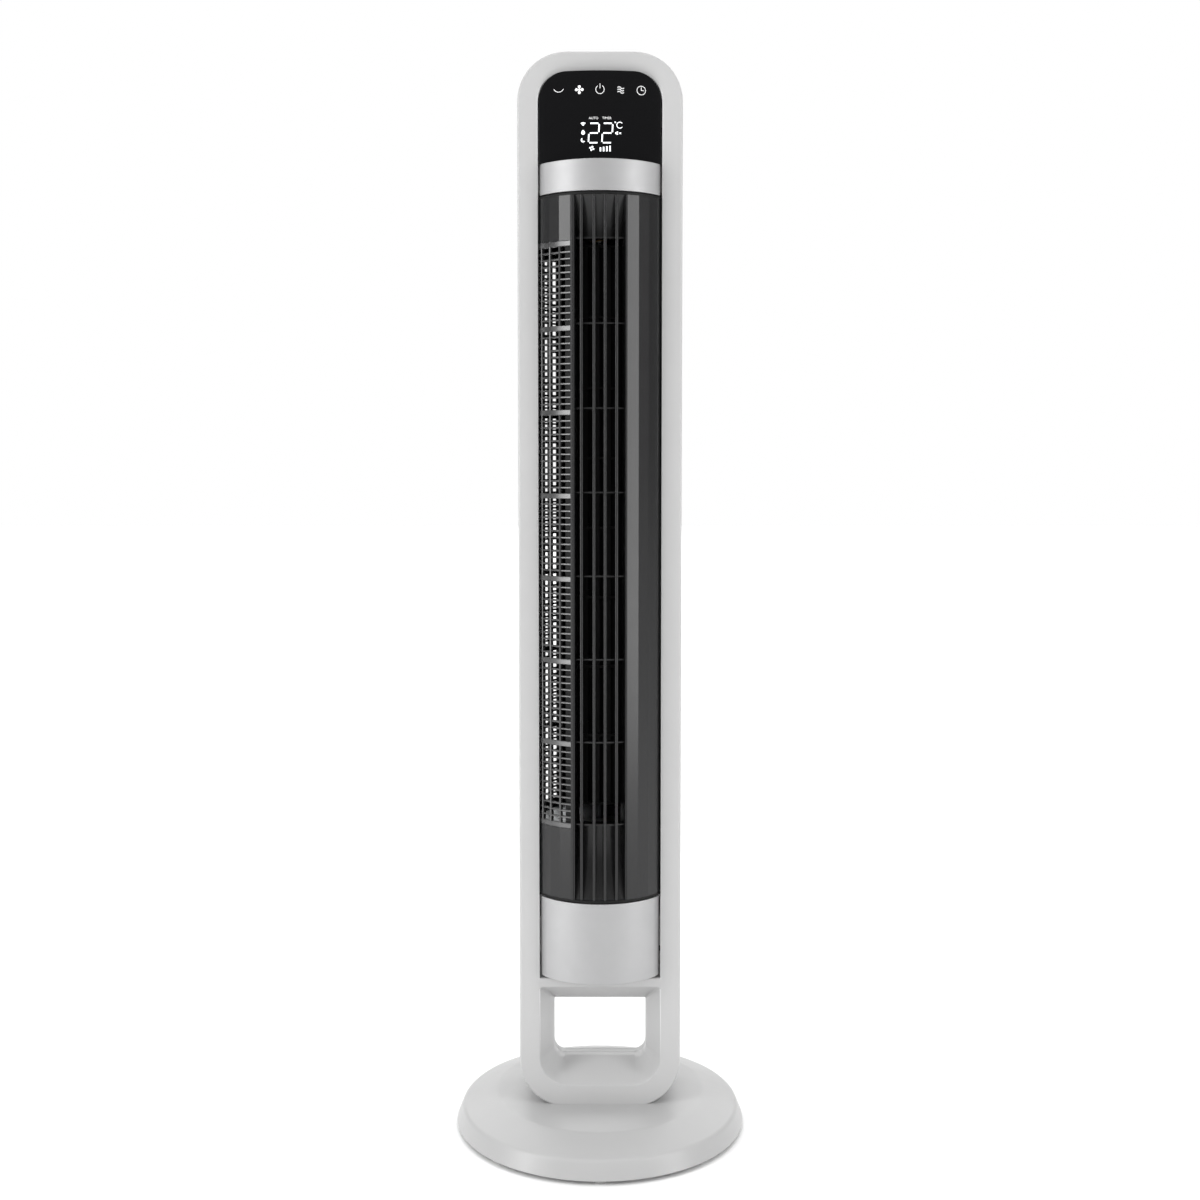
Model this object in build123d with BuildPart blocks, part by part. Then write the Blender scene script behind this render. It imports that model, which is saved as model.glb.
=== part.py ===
from build123d import *
import math
import os

# Tower fan: a hollow upright frame on a round base, with a drum that swings inside the frame
# and a cross-flow impeller that spins inside the drum. Millimetres, +Z up, front towards -Y,
# origin at the centre of the base on the floor.

# --- overall sizes ---
total_height = 1016.0
frame_width = 152.0
frame_depth = 80.0
frame_border = 19.5          # width of the frame's front face
rim_ease = 1.2               # slope that breaks the edges of the frame's openings
frame_corner = 45.0          # outer corner radius
opening_corner = 25.5        # inner corner radius
frame_wall = 2.2
frame_sink = 3.1             # how far the lower corners run below the base's plateau
edge_round = 2.0
seam = 0.2                   # parting gap between the front and rear shells

# --- base ---
foot_height = 4.0
base_radius = 139.0
base_lean = 6.0              # how far the base's wall leans in up to its crease
base_slope = 36.5            # from the base's rim in to the flat plateau
crease_height = 19.3
crease_round = 3.0
plateau_height = 31.4
base_wall = 2.5
plate_thickness = 3.0
foot_count = 8
foot_length = 12.0
foot_width = 11.0
foot_inset = 11.0            # from the base's rim to the middle of a foot
foot_corner = 2.0
stem_radius = 2.0
base_screw_count = 6
base_screw_inset = 44.0
base_boss_radius = 4.0
base_screw_length = 12.0
plate_gap = 2.0              # between the plate's edge and the base's wall
neck_radius = 22.0
neck_wall = 4.0
neck_flange = 28.0
flange_thickness = 3.0
nut_width = 10.0
nut_height = 8.0
nut_notches = 8
notch_radius = 2.5
gland_height = 12.6
gland_radius = 4.6
gland_flange = 0.8
gland_length = 10.0
gland_proud = 2.0            # how far the gland stands out of the base's wall
gland_bore = 3.4

# --- heights of the housings and the drum ---
handle_bottom = 50.0
handle_top = 144.2
bar_top = 153.5
cover_bottom = 156.4
drum_bottom = 233.6
head_room = 131.6            # from the drum's top to the top of the frame
end_gap = 1.2                # gap between the drum and the fixed covers above and below it
band_height = 28.4

# --- handle opening ---
waist_inset = 12.0           # how much narrower each side is in the middle of the depth
waist_bottom = 66.2
waist_top = 124.4
waist_corner = 11.5
waist_depth = 20.0           # straight stretch in the middle of the frame's depth
top_corner = 3.0

# --- drum ---
drum_swell = 11.5            # how far the drum's radius runs past the opening's half width
drum_wall = 2.5
pocket_gap = 1.0             # between the drum and the frame's scooped rails
cap_thickness = 2.0
spigot_height = 4.4
spigot_wall = 3.0
outlet_half_angle = 21.5
outlet_depth = 13.0
outlet_wall = 1.2
fin_places = (-17.0, -5.5, 4.6, 15.2)
fin_thickness = 2.0
fin_overhang = 3.0           # how far the fins reach inside the outlet's ribs
rib_count = 8
rib_setback = 4.0            # how far the cross ribs stand behind the drum's face
rib_lowest = 305.0
rib_headroom = 41.1          # from the highest rib to the drum's top
rib_thickness = 1.6
grille_start_angle = 24.0    # measured from the front towards the viewer's left
grille_end_angle = 164.0
grille_bottom = 302.0
grille_headroom = 42.4       # from the grille's top to the drum's top
grille_sections = 7
grille_rib_pitch = 10.77
grille_rib_width = 1.6
grille_rib_setback = 0.4
grille_bar = 6.5

# --- cover profiles ---
cover_inset = 4.5            # from the opening's side in to the cover's front edge
cover_wall = 2.0
return_inset = 0.6           # from the opening's side in to the turned-in edge
return_depth = 37.0
cover_floor_back = 6.0       # how near to the middle a cover's floor runs
cover_feet = [(-30.0, 12.0), (30.0, 12.0)]
cover_foot_radius = 4.0
panel_bulge = 10.0
panel_thickness = 2.5
panel_gap = 0.3

# --- oscillation drive ---
gear_module = 1.0
drum_gear_teeth = 60
pinion_teeth = 15
gear_height = 8.0
backlash = 0.2
pressure_angle = 20.0
journal_radius = 20.0
journal_bore = 14.0
upper_journal = 10.0
upper_bore = 6.0
bearing_wall = 6.0
running_gap = 0.05
deck_height = 208.0
deck_thickness = 3.0
deck_radius = 60.0
ear_half = 33.0
leg_radius = 5.0
leg_x = 45.0
leg_y = 20.0
drive_motor_radius = 25.0
drive_motor_room = 3.5       # between the swing motor and the rear cover
drive_motor_offset = 7.0     # the motor's case stands off its own shaft
drive_motor_height = 20.0
drive_shaft_radius = 3.0
bush_lip = 3.0
bush_lip_thickness = 2.0
bush_length = 8.0
gear_lift = 8.0              # from the deck's top to the gear

# --- fan motor and impeller ---
impeller_radius = 42.0
impeller_bottom = 320.0
impeller_sections = 8
impeller_headroom = 11.6     # from the impeller's top disc to the bearing plate
ring_thickness = 2.0
ring_width = 11.0
blade_count = 24
blade_thickness = 1.0
blade_lead = 14.0            # how far the blade's tip leads its root, in degrees
blade_belly = 3.0
hub_wall = 3.0
hub_height = 4.0
shaft_radius = 4.0
shaft_seat = 14.0            # how deep the motor's shaft sits in the impeller
motor_radius = 36.0
motor_bottom = 246.0
motor_height = 46.0
motor_wall = 1.5
rotor_radius = 20.5
air_gap = 0.5
motor_round = 3.0
stator_inset = 9.0
mount_plate_height = 296.0
bearing_headroom = 34.4      # from the bearing plate to the drum's top
bearing_ring = 5.0
inner_plate = 3.0
duct_gap = 3.0               # between the impeller and the air guides
motor_screw_ring = 28.0
motor_screw_count = 4
motor_screw_depth = 8.0
mount_radius = 4.0

# --- screws ---
screw_radius = 1.25
screw_gap = 0.1
head_radius = 2.4
head_height = 1.8
slack_gap = 0.3              # round a screw that only passes through
fit_gap = 0.2                # between pieces that seat in one another

# --- display and boards ---
carrier_setback = 8.0        # from the frame's front to the carrier's
carrier_half = 46.0
carrier_headroom = 12.0
carrier_corner = 8.0
post_x = 40.0
post_radius = 3.0
post_length = 2.0
board_width = 90.0
board_height = 66.0
board_thickness = 1.6
board_drop = 2.0
readout_width = 42.0
readout_height = 34.0
readout_depth = 3.5
readout_rise = 26.0          # from the display's lower edge to the read-out's middle
touch_count = 5
touch_pitch = 18.8
touch_drop = 17.5            # from the opening's top to the touch marks
touch_radius = 3.0
touch_wall = 0.8
shelf_depth = 18.0

# --- frame screws and wires ---
boss_radius = 3.2
boss_top_x = 25.0
boss_low_x = 30.0
boss_bar_x = 35.0
boss_low_rise = 10.0
boss_bar_drop = 4.7
boss_seat = 12.0             # how far behind the seam a frame screw's head sits
frame_screw_length = 20.0
wire_inset = 5.8
wire_y = -31.0
wire_radius = 2.5
wire_low_rise = 26.0
wire_top_drop = 50.0
wire_bend = 5.0
wire_tail = 14.0

# --- worked out from the sizes above ---
half_width = frame_width / 2
half_depth = frame_depth / 2
opening_half = half_width - frame_border
opening_top = total_height - frame_border
frame_foot = plateau_height - frame_sink
crease_radius = base_radius - base_lean
plateau_radius = base_radius - base_slope
foot_ring = base_radius - foot_inset
base_screw_ring = base_radius - base_screw_inset
waist_half = opening_half - waist_inset
drum_radius = opening_half + drum_swell
drum_top = total_height - head_room
grille_top = drum_top - grille_headroom
rib_pitch = (drum_top - rib_headroom - rib_lowest) / (rib_count - 1)
cover_half = opening_half - cover_inset
return_half = opening_half - return_inset
pocket_radius = drum_radius + pocket_gap
cover_top = drum_bottom - end_gap
band_bottom = drum_top + end_gap
band_top = band_bottom + band_height
inside_radius = drum_radius - drum_wall
outlet_inner = drum_radius - outlet_depth
fin_inner = outlet_inner - fin_overhang
plate_top = foot_height + plate_thickness
deck_top = deck_height + deck_thickness
chassis_height = band_bottom + 3.4
gear_distance = gear_module * (drum_gear_teeth + pinion_teeth) / 2
bearing_plate_height = drum_top - bearing_headroom
impeller_top = bearing_plate_height - impeller_headroom
section_pitch = (impeller_top - impeller_bottom) / impeller_sections
drive_motor_middle = drum_radius - cover_wall - drive_motor_room - drive_motor_radius
bulge_radius = (opening_half ** 2 + panel_bulge ** 2) / (2 * panel_bulge)
display_middle = (band_top + opening_top) / 2


def on_circle(radius, angle):
    """A point at an angle measured from the front, positive towards +X."""
    turn = math.radians(angle)
    return (radius * math.sin(turn), -radius * math.cos(turn))


def handle_outline(half, low, high, low_round, high_round):
    """Outline of the handle opening, seen from the front."""
    with BuildSketch(mode=Mode.PRIVATE) as outline:
        with Locations((0, (low + high) / 2)):
            Rectangle(2 * half, high - low)
        fillet(outline.vertices().group_by(Axis.Y)[0], low_round)
        fillet(outline.vertices().group_by(Axis.Y)[-1], high_round)
    return outline.sketch


def handle_core(grow):
    """The handle opening's front half as a solid, grown all round by a wall."""
    eased = grow + rim_ease
    mouth = handle_outline(opening_half + grow, handle_bottom - grow, handle_top + grow,
                           opening_corner + grow, top_corner + grow)
    edge = handle_outline(opening_half + eased, handle_bottom - eased, handle_top + eased,
                          opening_corner + eased, top_corner + eased)
    waist = handle_outline(waist_half + grow, waist_bottom - grow, waist_top + grow,
                           waist_corner + grow, top_corner / 2 + grow)
    with BuildPart() as core:
        with BuildSketch(Plane.XZ.offset(half_depth)):
            add(edge)
        with BuildSketch(Plane.XZ.offset(half_depth - rim_ease)):
            add(mouth)
        loft(ruled=True)
        with BuildSketch(Plane.XZ.offset(half_depth - rim_ease)):
            add(mouth)
        with BuildSketch(Plane.XZ.offset(waist_depth / 2)):
            add(waist)
        loft(ruled=True)
        with BuildSketch(Plane.XZ.offset(waist_depth / 2)):
            add(waist)
        extrude(amount=-waist_depth / 2 - 1)
    return core.part


def window_outline(grow):
    """Outline of the tall opening, seen from the front."""
    low = bar_top - grow
    high = opening_top + grow
    with BuildSketch(mode=Mode.PRIVATE) as outline:
        with Locations((0, (low + high) / 2)):
            Rectangle(2 * (opening_half + grow), high - low)
        fillet(outline.vertices().group_by(Axis.Y)[-1], opening_corner + grow)
    return outline.sketch


def opening_core(grow):
    """The tall opening that holds the head, the drum and the lower housing."""
    low = bar_top - grow
    high = opening_top + grow
    with BuildPart() as core:
        with BuildSketch(Plane.XZ.offset(half_depth)):
            add(window_outline(grow + rim_ease))
        with BuildSketch(Plane.XZ.offset(half_depth - rim_ease)):
            add(window_outline(grow))
        loft(ruled=True)
        with BuildSketch(Plane.XZ.offset(half_depth - rim_ease)):
            add(window_outline(grow))
        extrude(amount=-half_depth)
        with BuildSketch(Plane.XY.offset(low)):
            Circle(pocket_radius + grow)
        extrude(amount=high - opening_corner - low)
    return core.part


# --- frame: one half, used for the front shell and mirrored for the rear shell ---
bosses = [(side * boss_top_x, opening_top + frame_border / 2) for side in (-1, 1)]
bosses += [(side * boss_low_x, plateau_height + boss_low_rise) for side in (-1, 1)]
bosses += [(side * boss_bar_x, bar_top - boss_bar_drop) for side in (-1, 1)]
leg_places = [(side * leg_x, end * leg_y) for side in (-1, 1) for end in (-1, 1)]
wire_x = half_width - wire_inset
wire_low = bar_top + wire_low_rise
wire_high = opening_top - wire_top_drop

with BuildPart() as frame_cavity:
    with BuildSketch(Plane.XZ):
        with Locations((0, (total_height + frame_foot) / 2)):
            RectangleRounded(
                frame_width - 2 * frame_wall,
                total_height - frame_foot - 2 * frame_wall,
                frame_corner - frame_wall,
            )
    extrude(amount=half_depth - frame_wall)
    with BuildSketch(Plane.XY.offset(plateau_height + frame_wall)):
        Rectangle(frame_width + 2, frame_depth + 2)
    extrude(amount=-frame_corner, mode=Mode.SUBTRACT)
    add(opening_core(frame_wall), mode=Mode.SUBTRACT)
    add(handle_core(frame_wall), mode=Mode.SUBTRACT)
    with BuildSketch(Plane.XZ):
        with Locations(*bosses):
            Circle(boss_radius)
    extrude(amount=half_depth, mode=Mode.SUBTRACT)

with BuildPart() as frame_half:
    with BuildSketch(Plane.XZ.offset(seam / 2)):
        with Locations((0, (total_height + frame_foot) / 2)):
            RectangleRounded(frame_width, total_height - frame_foot, frame_corner)
    extrude(amount=half_depth - seam / 2)
    fillet(frame_half.faces().sort_by(Axis.Y)[0].edges(), edge_round)
    with BuildSketch(Plane.XY.offset(plateau_height)):
        Rectangle(frame_width + 2, frame_depth + 2)
    extrude(amount=-frame_corner, mode=Mode.SUBTRACT)
    add(frame_cavity.part, mode=Mode.SUBTRACT)
    add(opening_core(0), mode=Mode.SUBTRACT)
    add(handle_core(0), mode=Mode.SUBTRACT)
    with BuildSketch(Plane.XY.offset(plateau_height - 1)):
        Circle(neck_radius + fit_gap)
    extrude(amount=frame_wall + 1.5, mode=Mode.SUBTRACT)
    with BuildSketch(Plane.XY.offset(bar_top + 1)):
        with Locations(*leg_places):
            Circle(screw_radius + slack_gap)
    extrude(amount=-frame_wall - 1.5, mode=Mode.SUBTRACT)

with BuildPart() as frame_front:
    add(frame_half.part)
    with BuildSketch(Plane.XZ):
        with Locations(*bosses):
            Circle(screw_radius + screw_gap)
    extrude(amount=half_depth - 2 * frame_wall, mode=Mode.SUBTRACT)
    with BuildSketch(Plane.YZ.offset(opening_half)):
        with Locations((wire_y, wire_low), (wire_y, wire_high)):
            Circle(wire_radius + fit_gap)
    extrude(amount=wire_x - opening_half, mode=Mode.SUBTRACT)
frame_front.part.label = "frame_front"

with BuildPart() as frame_rear:
    add(mirror(frame_half.part, about=Plane.XZ))
    with BuildSketch(Plane.XZ):
        with Locations(*bosses):
            Circle(screw_radius + slack_gap)
    extrude(amount=-half_depth - 1, mode=Mode.SUBTRACT)
    with BuildSketch(Plane.XZ.offset(-half_depth - 1)):
        with Locations(*bosses):
            Circle(head_radius + fit_gap)
    extrude(amount=half_depth + 1 - boss_seat, mode=Mode.SUBTRACT)
frame_rear.part.label = "frame_rear"

with BuildPart() as frame_screws:
    with BuildSketch(Plane.XZ.offset(-boss_seat)):
        with Locations(*bosses):
            Circle(screw_radius)
    extrude(amount=boss_seat + frame_screw_length)
    with BuildSketch(Plane.XZ.offset(-boss_seat)):
        with Locations(*bosses):
            Circle(head_radius)
    extrude(amount=-head_height)
frame_screws.part.label = "frame_screws"

# --- base ---
with BuildPart() as base_cover:
    with BuildSketch(Plane.XZ):
        with BuildLine():
            Polyline(
                (neck_radius + fit_gap, plateau_height),
                (plateau_radius, plateau_height),
                (crease_radius, crease_height),
                (base_radius, foot_height),
                (base_radius - base_wall, foot_height),
                (crease_radius - base_wall, crease_height - base_wall / 2),
                (plateau_radius - base_wall / 2, plateau_height - base_wall),
                (neck_radius + fit_gap, plateau_height - base_wall),
                close=True,
            )
        make_face()
    revolve(axis=Axis.Z)
    rims = base_cover.edges().filter_by(GeomType.CIRCLE).filter_by(
        lambda edge: abs(edge.radius - crease_radius) < 0.01
    )
    fillet(rims, crease_round)
    with BuildSketch(Plane.XY.offset(plate_top + fit_gap)):
        with PolarLocations(base_screw_ring, base_screw_count):
            Circle(base_boss_radius)
    extrude(amount=plateau_height - base_wall / 2 - plate_top - fit_gap)
    with BuildSketch(Plane.XY.offset(foot_height)):
        with PolarLocations(base_screw_ring, base_screw_count):
            Circle(screw_radius + screw_gap)
    extrude(amount=base_screw_length + plate_thickness + plate_thickness, mode=Mode.SUBTRACT)
    with BuildSketch(Plane.XZ.offset(-crease_radius + gland_length)):
        with Locations((0, gland_height)):
            Circle(gland_radius + screw_gap)
    extrude(amount=-3 * gland_length, mode=Mode.SUBTRACT)
base_cover.part.label = "base_cover"

plate_radius = base_radius - base_wall - plate_gap
with BuildPart() as base_plate:
    with BuildSketch(Plane.XY.offset(foot_height)):
        Circle(plate_radius)
        with PolarLocations(base_screw_ring, base_screw_count):
            Circle(screw_radius + slack_gap, mode=Mode.SUBTRACT)
        with PolarLocations(foot_ring, foot_count):
            Circle(stem_radius + screw_gap, mode=Mode.SUBTRACT)
    extrude(amount=plate_thickness)
    with BuildSketch(Plane.XY.offset(foot_height)):
        with PolarLocations(base_screw_ring, base_screw_count):
            Circle(head_radius + fit_gap)
    extrude(amount=head_height, mode=Mode.SUBTRACT)
base_plate.part.label = "base_plate"

with BuildPart() as rubber_feet:
    with BuildSketch():
        with PolarLocations(foot_ring, foot_count):
            RectangleRounded(foot_length, foot_width, foot_corner)
    extrude(amount=foot_height)
    with BuildSketch(Plane.XY.offset(foot_height)):
        with PolarLocations(foot_ring, foot_count):
            Circle(stem_radius)
    extrude(amount=plate_thickness)
rubber_feet.part.label = "rubber_feet"

with BuildPart() as base_screws:
    with BuildSketch(Plane.XY.offset(foot_height + fit_gap)):
        with PolarLocations(base_screw_ring, base_screw_count):
            Circle(head_radius)
    extrude(amount=head_height - fit_gap)
    with BuildSketch(Plane.XY.offset(foot_height + head_height)):
        with PolarLocations(base_screw_ring, base_screw_count):
            Circle(screw_radius)
    extrude(amount=base_screw_length)
base_screws.part.label = "base_screws"

flange_bottom = plateau_height + frame_wall + fit_gap
neck_bottom = plate_top + 1.5
with BuildPart() as neck_tube:
    with BuildSketch(Plane.XY.offset(neck_bottom)):
        Circle(neck_radius)
    extrude(amount=flange_bottom - neck_bottom)
    with BuildSketch(Plane.XY.offset(flange_bottom)):
        Circle(neck_flange)
    extrude(amount=flange_thickness)
    with BuildSketch(Plane.XY.offset(neck_bottom)):
        Circle(neck_radius - neck_wall)
    extrude(amount=flange_bottom + flange_thickness - neck_bottom, mode=Mode.SUBTRACT)
neck_tube.part.label = "neck_tube"

with BuildPart() as lock_nut:
    with BuildSketch(Plane.XY.offset(plateau_height - base_wall - fit_gap)):
        Circle(neck_radius + nut_width)
        Circle(neck_radius + screw_gap, mode=Mode.SUBTRACT)
        with PolarLocations(neck_radius + nut_width, nut_notches):
            Circle(notch_radius, mode=Mode.SUBTRACT)
    extrude(amount=-nut_height)
lock_nut.part.label = "lock_nut"

gland_slope = (base_radius - crease_radius) / (crease_height - foot_height)
gland_face = base_radius - gland_slope * (gland_height - foot_height)
gland_back = gland_face + gland_proud - gland_length
with BuildPart() as cord_gland:
    with BuildSketch(Plane.XZ.offset(-gland_back)):
        with Locations((0, gland_height)):
            Circle(gland_radius)
    extrude(amount=-gland_length)
    with BuildSketch(Plane.XZ.offset(-gland_back)):
        with Locations((0, gland_height)):
            Circle(gland_radius + gland_flange)
    extrude(amount=-base_wall)
    with BuildSketch(Plane.XZ.offset(-gland_back + 1)):
        with Locations((0, gland_height)):
            Circle(gland_bore)
    extrude(amount=-gland_length - 2, mode=Mode.SUBTRACT)
cord_gland.part.label = "cord_gland"


# --- fixed covers round the drum ---
def cover_outline(side):
    """Wall of a cover: an arc in line with the drum, with its edges turned in."""
    edge_angle = math.degrees(math.asin(cover_half / drum_radius))
    middle = (0, side * drum_radius)
    right = (cover_half, side * drum_radius * math.cos(math.radians(edge_angle)))
    left = (-right[0], right[1])
    inner_radius = drum_radius - cover_wall
    inner_right = (right[0] - cover_wall, side * math.sqrt(inner_radius ** 2 - (right[0] - cover_wall) ** 2))
    inner_left = (-inner_right[0], inner_right[1])
    with BuildSketch(mode=Mode.PRIVATE) as outline:
        with BuildLine():
            ThreePointArc(left, middle, right)
            Line(right, (return_half, side * return_depth))
            Line((return_half, side * return_depth), (return_half - cover_wall, side * return_depth))
            Line((return_half - cover_wall, side * return_depth), inner_right)
            ThreePointArc(inner_right, (0, side * inner_radius), inner_left)
            Line(inner_left, (-return_half + cover_wall, side * return_depth))
            Line((-return_half + cover_wall, side * return_depth), (-return_half, side * return_depth))
            Line((-return_half, side * return_depth), left)
        make_face()
    return outline.sketch


def cover_disc(side, back):
    """Flat plate that closes a cover, from its wall back to a depth."""
    inner_radius = drum_radius - cover_wall
    half = return_half - cover_wall
    front = half - cover_wall
    reach = math.sqrt(inner_radius ** 2 - front ** 2)
    with BuildSketch(mode=Mode.PRIVATE) as disc:
        with BuildLine():
            ThreePointArc((-front, side * reach), (0, side * (inner_radius + 0.5)), (front, side * reach))
            Line((front, side * reach), (half, side * return_depth))
            Line((half, side * return_depth), (half, side * back))
            Line((half, side * back), (-half, side * back))
            Line((-half, side * back), (-half, side * return_depth))
            Line((-half, side * return_depth), (-front, side * reach))
        make_face()
    return disc.sketch


def housing_cover(name, side, low, high, plate_low):
    """A curved cover with one closed end, its height from low to high."""
    with BuildPart() as cover:
        with BuildSketch(Plane.XY.offset(low)):
            add(cover_outline(side))
        extrude(amount=high - low)
        with BuildSketch(Plane.XY.offset(plate_low)):
            add(cover_disc(side, cover_floor_back if plate_low == low else return_depth - cover_wall))
        extrude(amount=cover_wall)
        if plate_low == low:
            with BuildSketch(Plane.XY.offset(low)):
                with Locations(*[(x, side * y) for x, y in cover_feet]):
                    Circle(cover_foot_radius)
            extrude(amount=bar_top - low)
            with BuildSketch(Plane.XY.offset(low - 1)):
                with Locations(*[place for place in leg_places if place[1] * side > 0]):
                    Circle(leg_radius + fit_gap)
            extrude(amount=cover_wall + 2, mode=Mode.SUBTRACT)
    cover.part.label = name
    return cover


lower_cover = housing_cover("lower_cover", -1, cover_bottom, cover_top, cover_bottom)
lower_rear_cover = housing_cover("lower_rear_cover", 1, cover_bottom, cover_top, cover_bottom)
upper_band = housing_cover("upper_band", -1, band_bottom, band_top, band_top - cover_wall)
upper_rear_band = housing_cover("upper_rear_band", 1, band_bottom, band_top, band_top - cover_wall)


def head_shell(name, side):
    """Bulged plate that closes the frame's rounded top above the band."""
    low = band_top + panel_gap
    high = opening_top - panel_gap
    middle = side * (half_depth + panel_bulge - bulge_radius)
    with BuildPart() as shell:
        with BuildSketch(Plane.XY.offset(low)):
            with Locations((0, middle)):
                Circle(bulge_radius)
                Circle(bulge_radius - panel_thickness, mode=Mode.SUBTRACT)
        extrude(amount=high - low)
        with BuildSketch(Plane.XZ.offset(-side * (half_depth / 2))) as window:
            with Locations((0, (low + high) / 2)):
                Rectangle(2 * (opening_half - panel_gap), high - low)
            fillet(window.vertices().group_by(Axis.Y)[-1], opening_corner - panel_gap)
        extrude(amount=-side * (half_depth / 2 + panel_bulge + 1), mode=Mode.INTERSECT)
    shell.part.label = name
    return shell


display_panel = head_shell("display_panel", -1)
head_rear_cover = head_shell("head_rear_cover", 1)

# --- head: chassis, bush, boards and read-out ---
with BuildPart() as head_chassis:
    with BuildSketch(Plane.XY.offset(chassis_height)):
        Circle(pocket_radius - screw_gap)
        Rectangle(2 * pocket_radius, 2 * ear_half, mode=Mode.INTERSECT)
        Circle(deck_radius)
        Circle(upper_journal + running_gap + bearing_wall, mode=Mode.SUBTRACT)
    extrude(amount=inner_plate)
head_chassis.part.label = "head_chassis"

with BuildPart() as upper_bush:
    with BuildSketch(Plane.XY.offset(chassis_height)):
        Circle(upper_journal + running_gap + bearing_wall - screw_gap)
        Circle(upper_journal + running_gap, mode=Mode.SUBTRACT)
    extrude(amount=bush_length)
    with BuildSketch(Plane.XY.offset(chassis_height + inner_plate)):
        Circle(upper_journal + bearing_wall + bush_lip)
        Circle(upper_journal + running_gap, mode=Mode.SUBTRACT)
    extrude(amount=bush_lip_thickness)
upper_bush.part.label = "upper_bush"

carrier_front = half_depth - carrier_setback
carrier_bottom = chassis_height + inner_plate
carrier_top = opening_top - carrier_headroom
post_heights = (band_top + carrier_corner, opening_top - 2.5 * carrier_headroom)
post_places = [(side * post_x, height) for side in (-1, 1) for height in post_heights]
with BuildPart() as display_carrier:
    with BuildSketch(Plane.XZ.offset(carrier_front)):
        with Locations((0, (carrier_bottom + carrier_top) / 2)):
            RectangleRounded(2 * carrier_half, carrier_top - carrier_bottom, carrier_corner)
    extrude(amount=-cover_wall)
    with BuildSketch(Plane.XZ.offset(carrier_front)):
        with Locations(*post_places):
            Circle(post_radius)
    extrude(amount=post_length)
    with BuildSketch(Plane.XY.offset(carrier_bottom)):
        with Locations((0, -carrier_front + shelf_depth / 2)):
            Rectangle(2 * carrier_half - shelf_depth - cover_wall, shelf_depth)
            with Locations((0, shelf_depth / 4)):
                Rectangle(carrier_half, shelf_depth + cover_wall, mode=Mode.SUBTRACT)
    extrude(amount=cover_wall)
display_carrier.part.label = "display_carrier"

board_front = carrier_front + post_length
board_face = board_front + board_thickness
with BuildPart() as control_board:
    with BuildSketch(Plane.XZ.offset(board_front)):
        with Locations((0, display_middle - board_drop)):
            RectangleRounded(board_width, board_height, carrier_corner / 2)
    extrude(amount=board_thickness)
control_board.part.label = "control_board"

with BuildPart() as led_display:
    with BuildSketch(Plane.XZ.offset(board_face)):
        with Locations((1, band_top + readout_rise)):
            RectangleRounded(readout_width, readout_height, board_thickness)
    extrude(amount=readout_depth)
led_display.part.label = "led_display"

touch_height = opening_top - touch_drop
touch_middle = (touch_count - 1) / 2
touch_places = [((index - touch_middle) * touch_pitch, touch_height) for index in range(touch_count)]
with BuildPart() as touch_springs:
    for touch_x, touch_z in touch_places:
        inner_face = math.sqrt((bulge_radius - panel_thickness) ** 2 - (abs(touch_x) + touch_radius) ** 2)
        reach = bulge_radius - half_depth - panel_bulge
        with BuildSketch(Plane.XZ.offset(board_face)):
            with Locations((touch_x, touch_z)):
                Circle(touch_radius)
                Circle(touch_radius - touch_wall, mode=Mode.SUBTRACT)
        extrude(amount=inner_face - reach - board_face - fit_gap)
touch_springs.part.label = "touch_springs"

# --- lower housing: deck, bearing, swing motor and power board ---
pinion_place = (0, gear_distance)
drive_motor_place = (drive_motor_offset, drive_motor_middle)
with BuildPart() as drive_deck:
    with BuildSketch(Plane.XY.offset(deck_height)):
        Circle(pocket_radius - screw_gap)
        Rectangle(2 * pocket_radius, 2 * ear_half, mode=Mode.INTERSECT)
        Circle(deck_radius)
    extrude(amount=deck_thickness)
    with BuildSketch(Plane.XY.offset(bar_top)):
        with Locations(*leg_places):
            Circle(leg_radius)
    extrude(amount=deck_height - bar_top)
    with BuildSketch(Plane.XY.offset(deck_height)):
        Circle(journal_radius + running_gap + bearing_wall)
        with Locations(pinion_place):
            Circle(drive_shaft_radius + cover_wall)
    extrude(amount=deck_thickness, mode=Mode.SUBTRACT)
    with BuildSketch(Plane.XY.offset(bar_top)):
        with Locations(*leg_places):
            Circle(screw_radius + slack_gap)
    extrude(amount=deck_top - bar_top, mode=Mode.SUBTRACT)
drive_deck.part.label = "drive_deck"

with BuildPart() as deck_screws:
    with BuildSketch(Plane.XY.offset(bar_top - frame_wall)):
        with Locations(*leg_places):
            Circle(screw_radius)
    extrude(amount=deck_top - bar_top + frame_wall)
    with BuildSketch(Plane.XY.offset(deck_top)):
        with Locations(*leg_places):
            Circle(head_radius)
    extrude(amount=head_height)
deck_screws.part.label = "deck_screws"

with BuildPart() as lower_bearing:
    with BuildSketch(Plane.XY.offset(deck_height)):
        Circle(journal_radius + running_gap + bearing_wall - screw_gap)
        Circle(journal_radius + running_gap, mode=Mode.SUBTRACT)
    extrude(amount=bush_length - 1)
    with BuildSketch(Plane.XY.offset(deck_top)):
        Circle(journal_radius + bearing_wall + bush_lip)
        Circle(journal_radius + running_gap, mode=Mode.SUBTRACT)
    extrude(amount=bush_lip_thickness)
lower_bearing.part.label = "lower_bearing"

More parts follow.
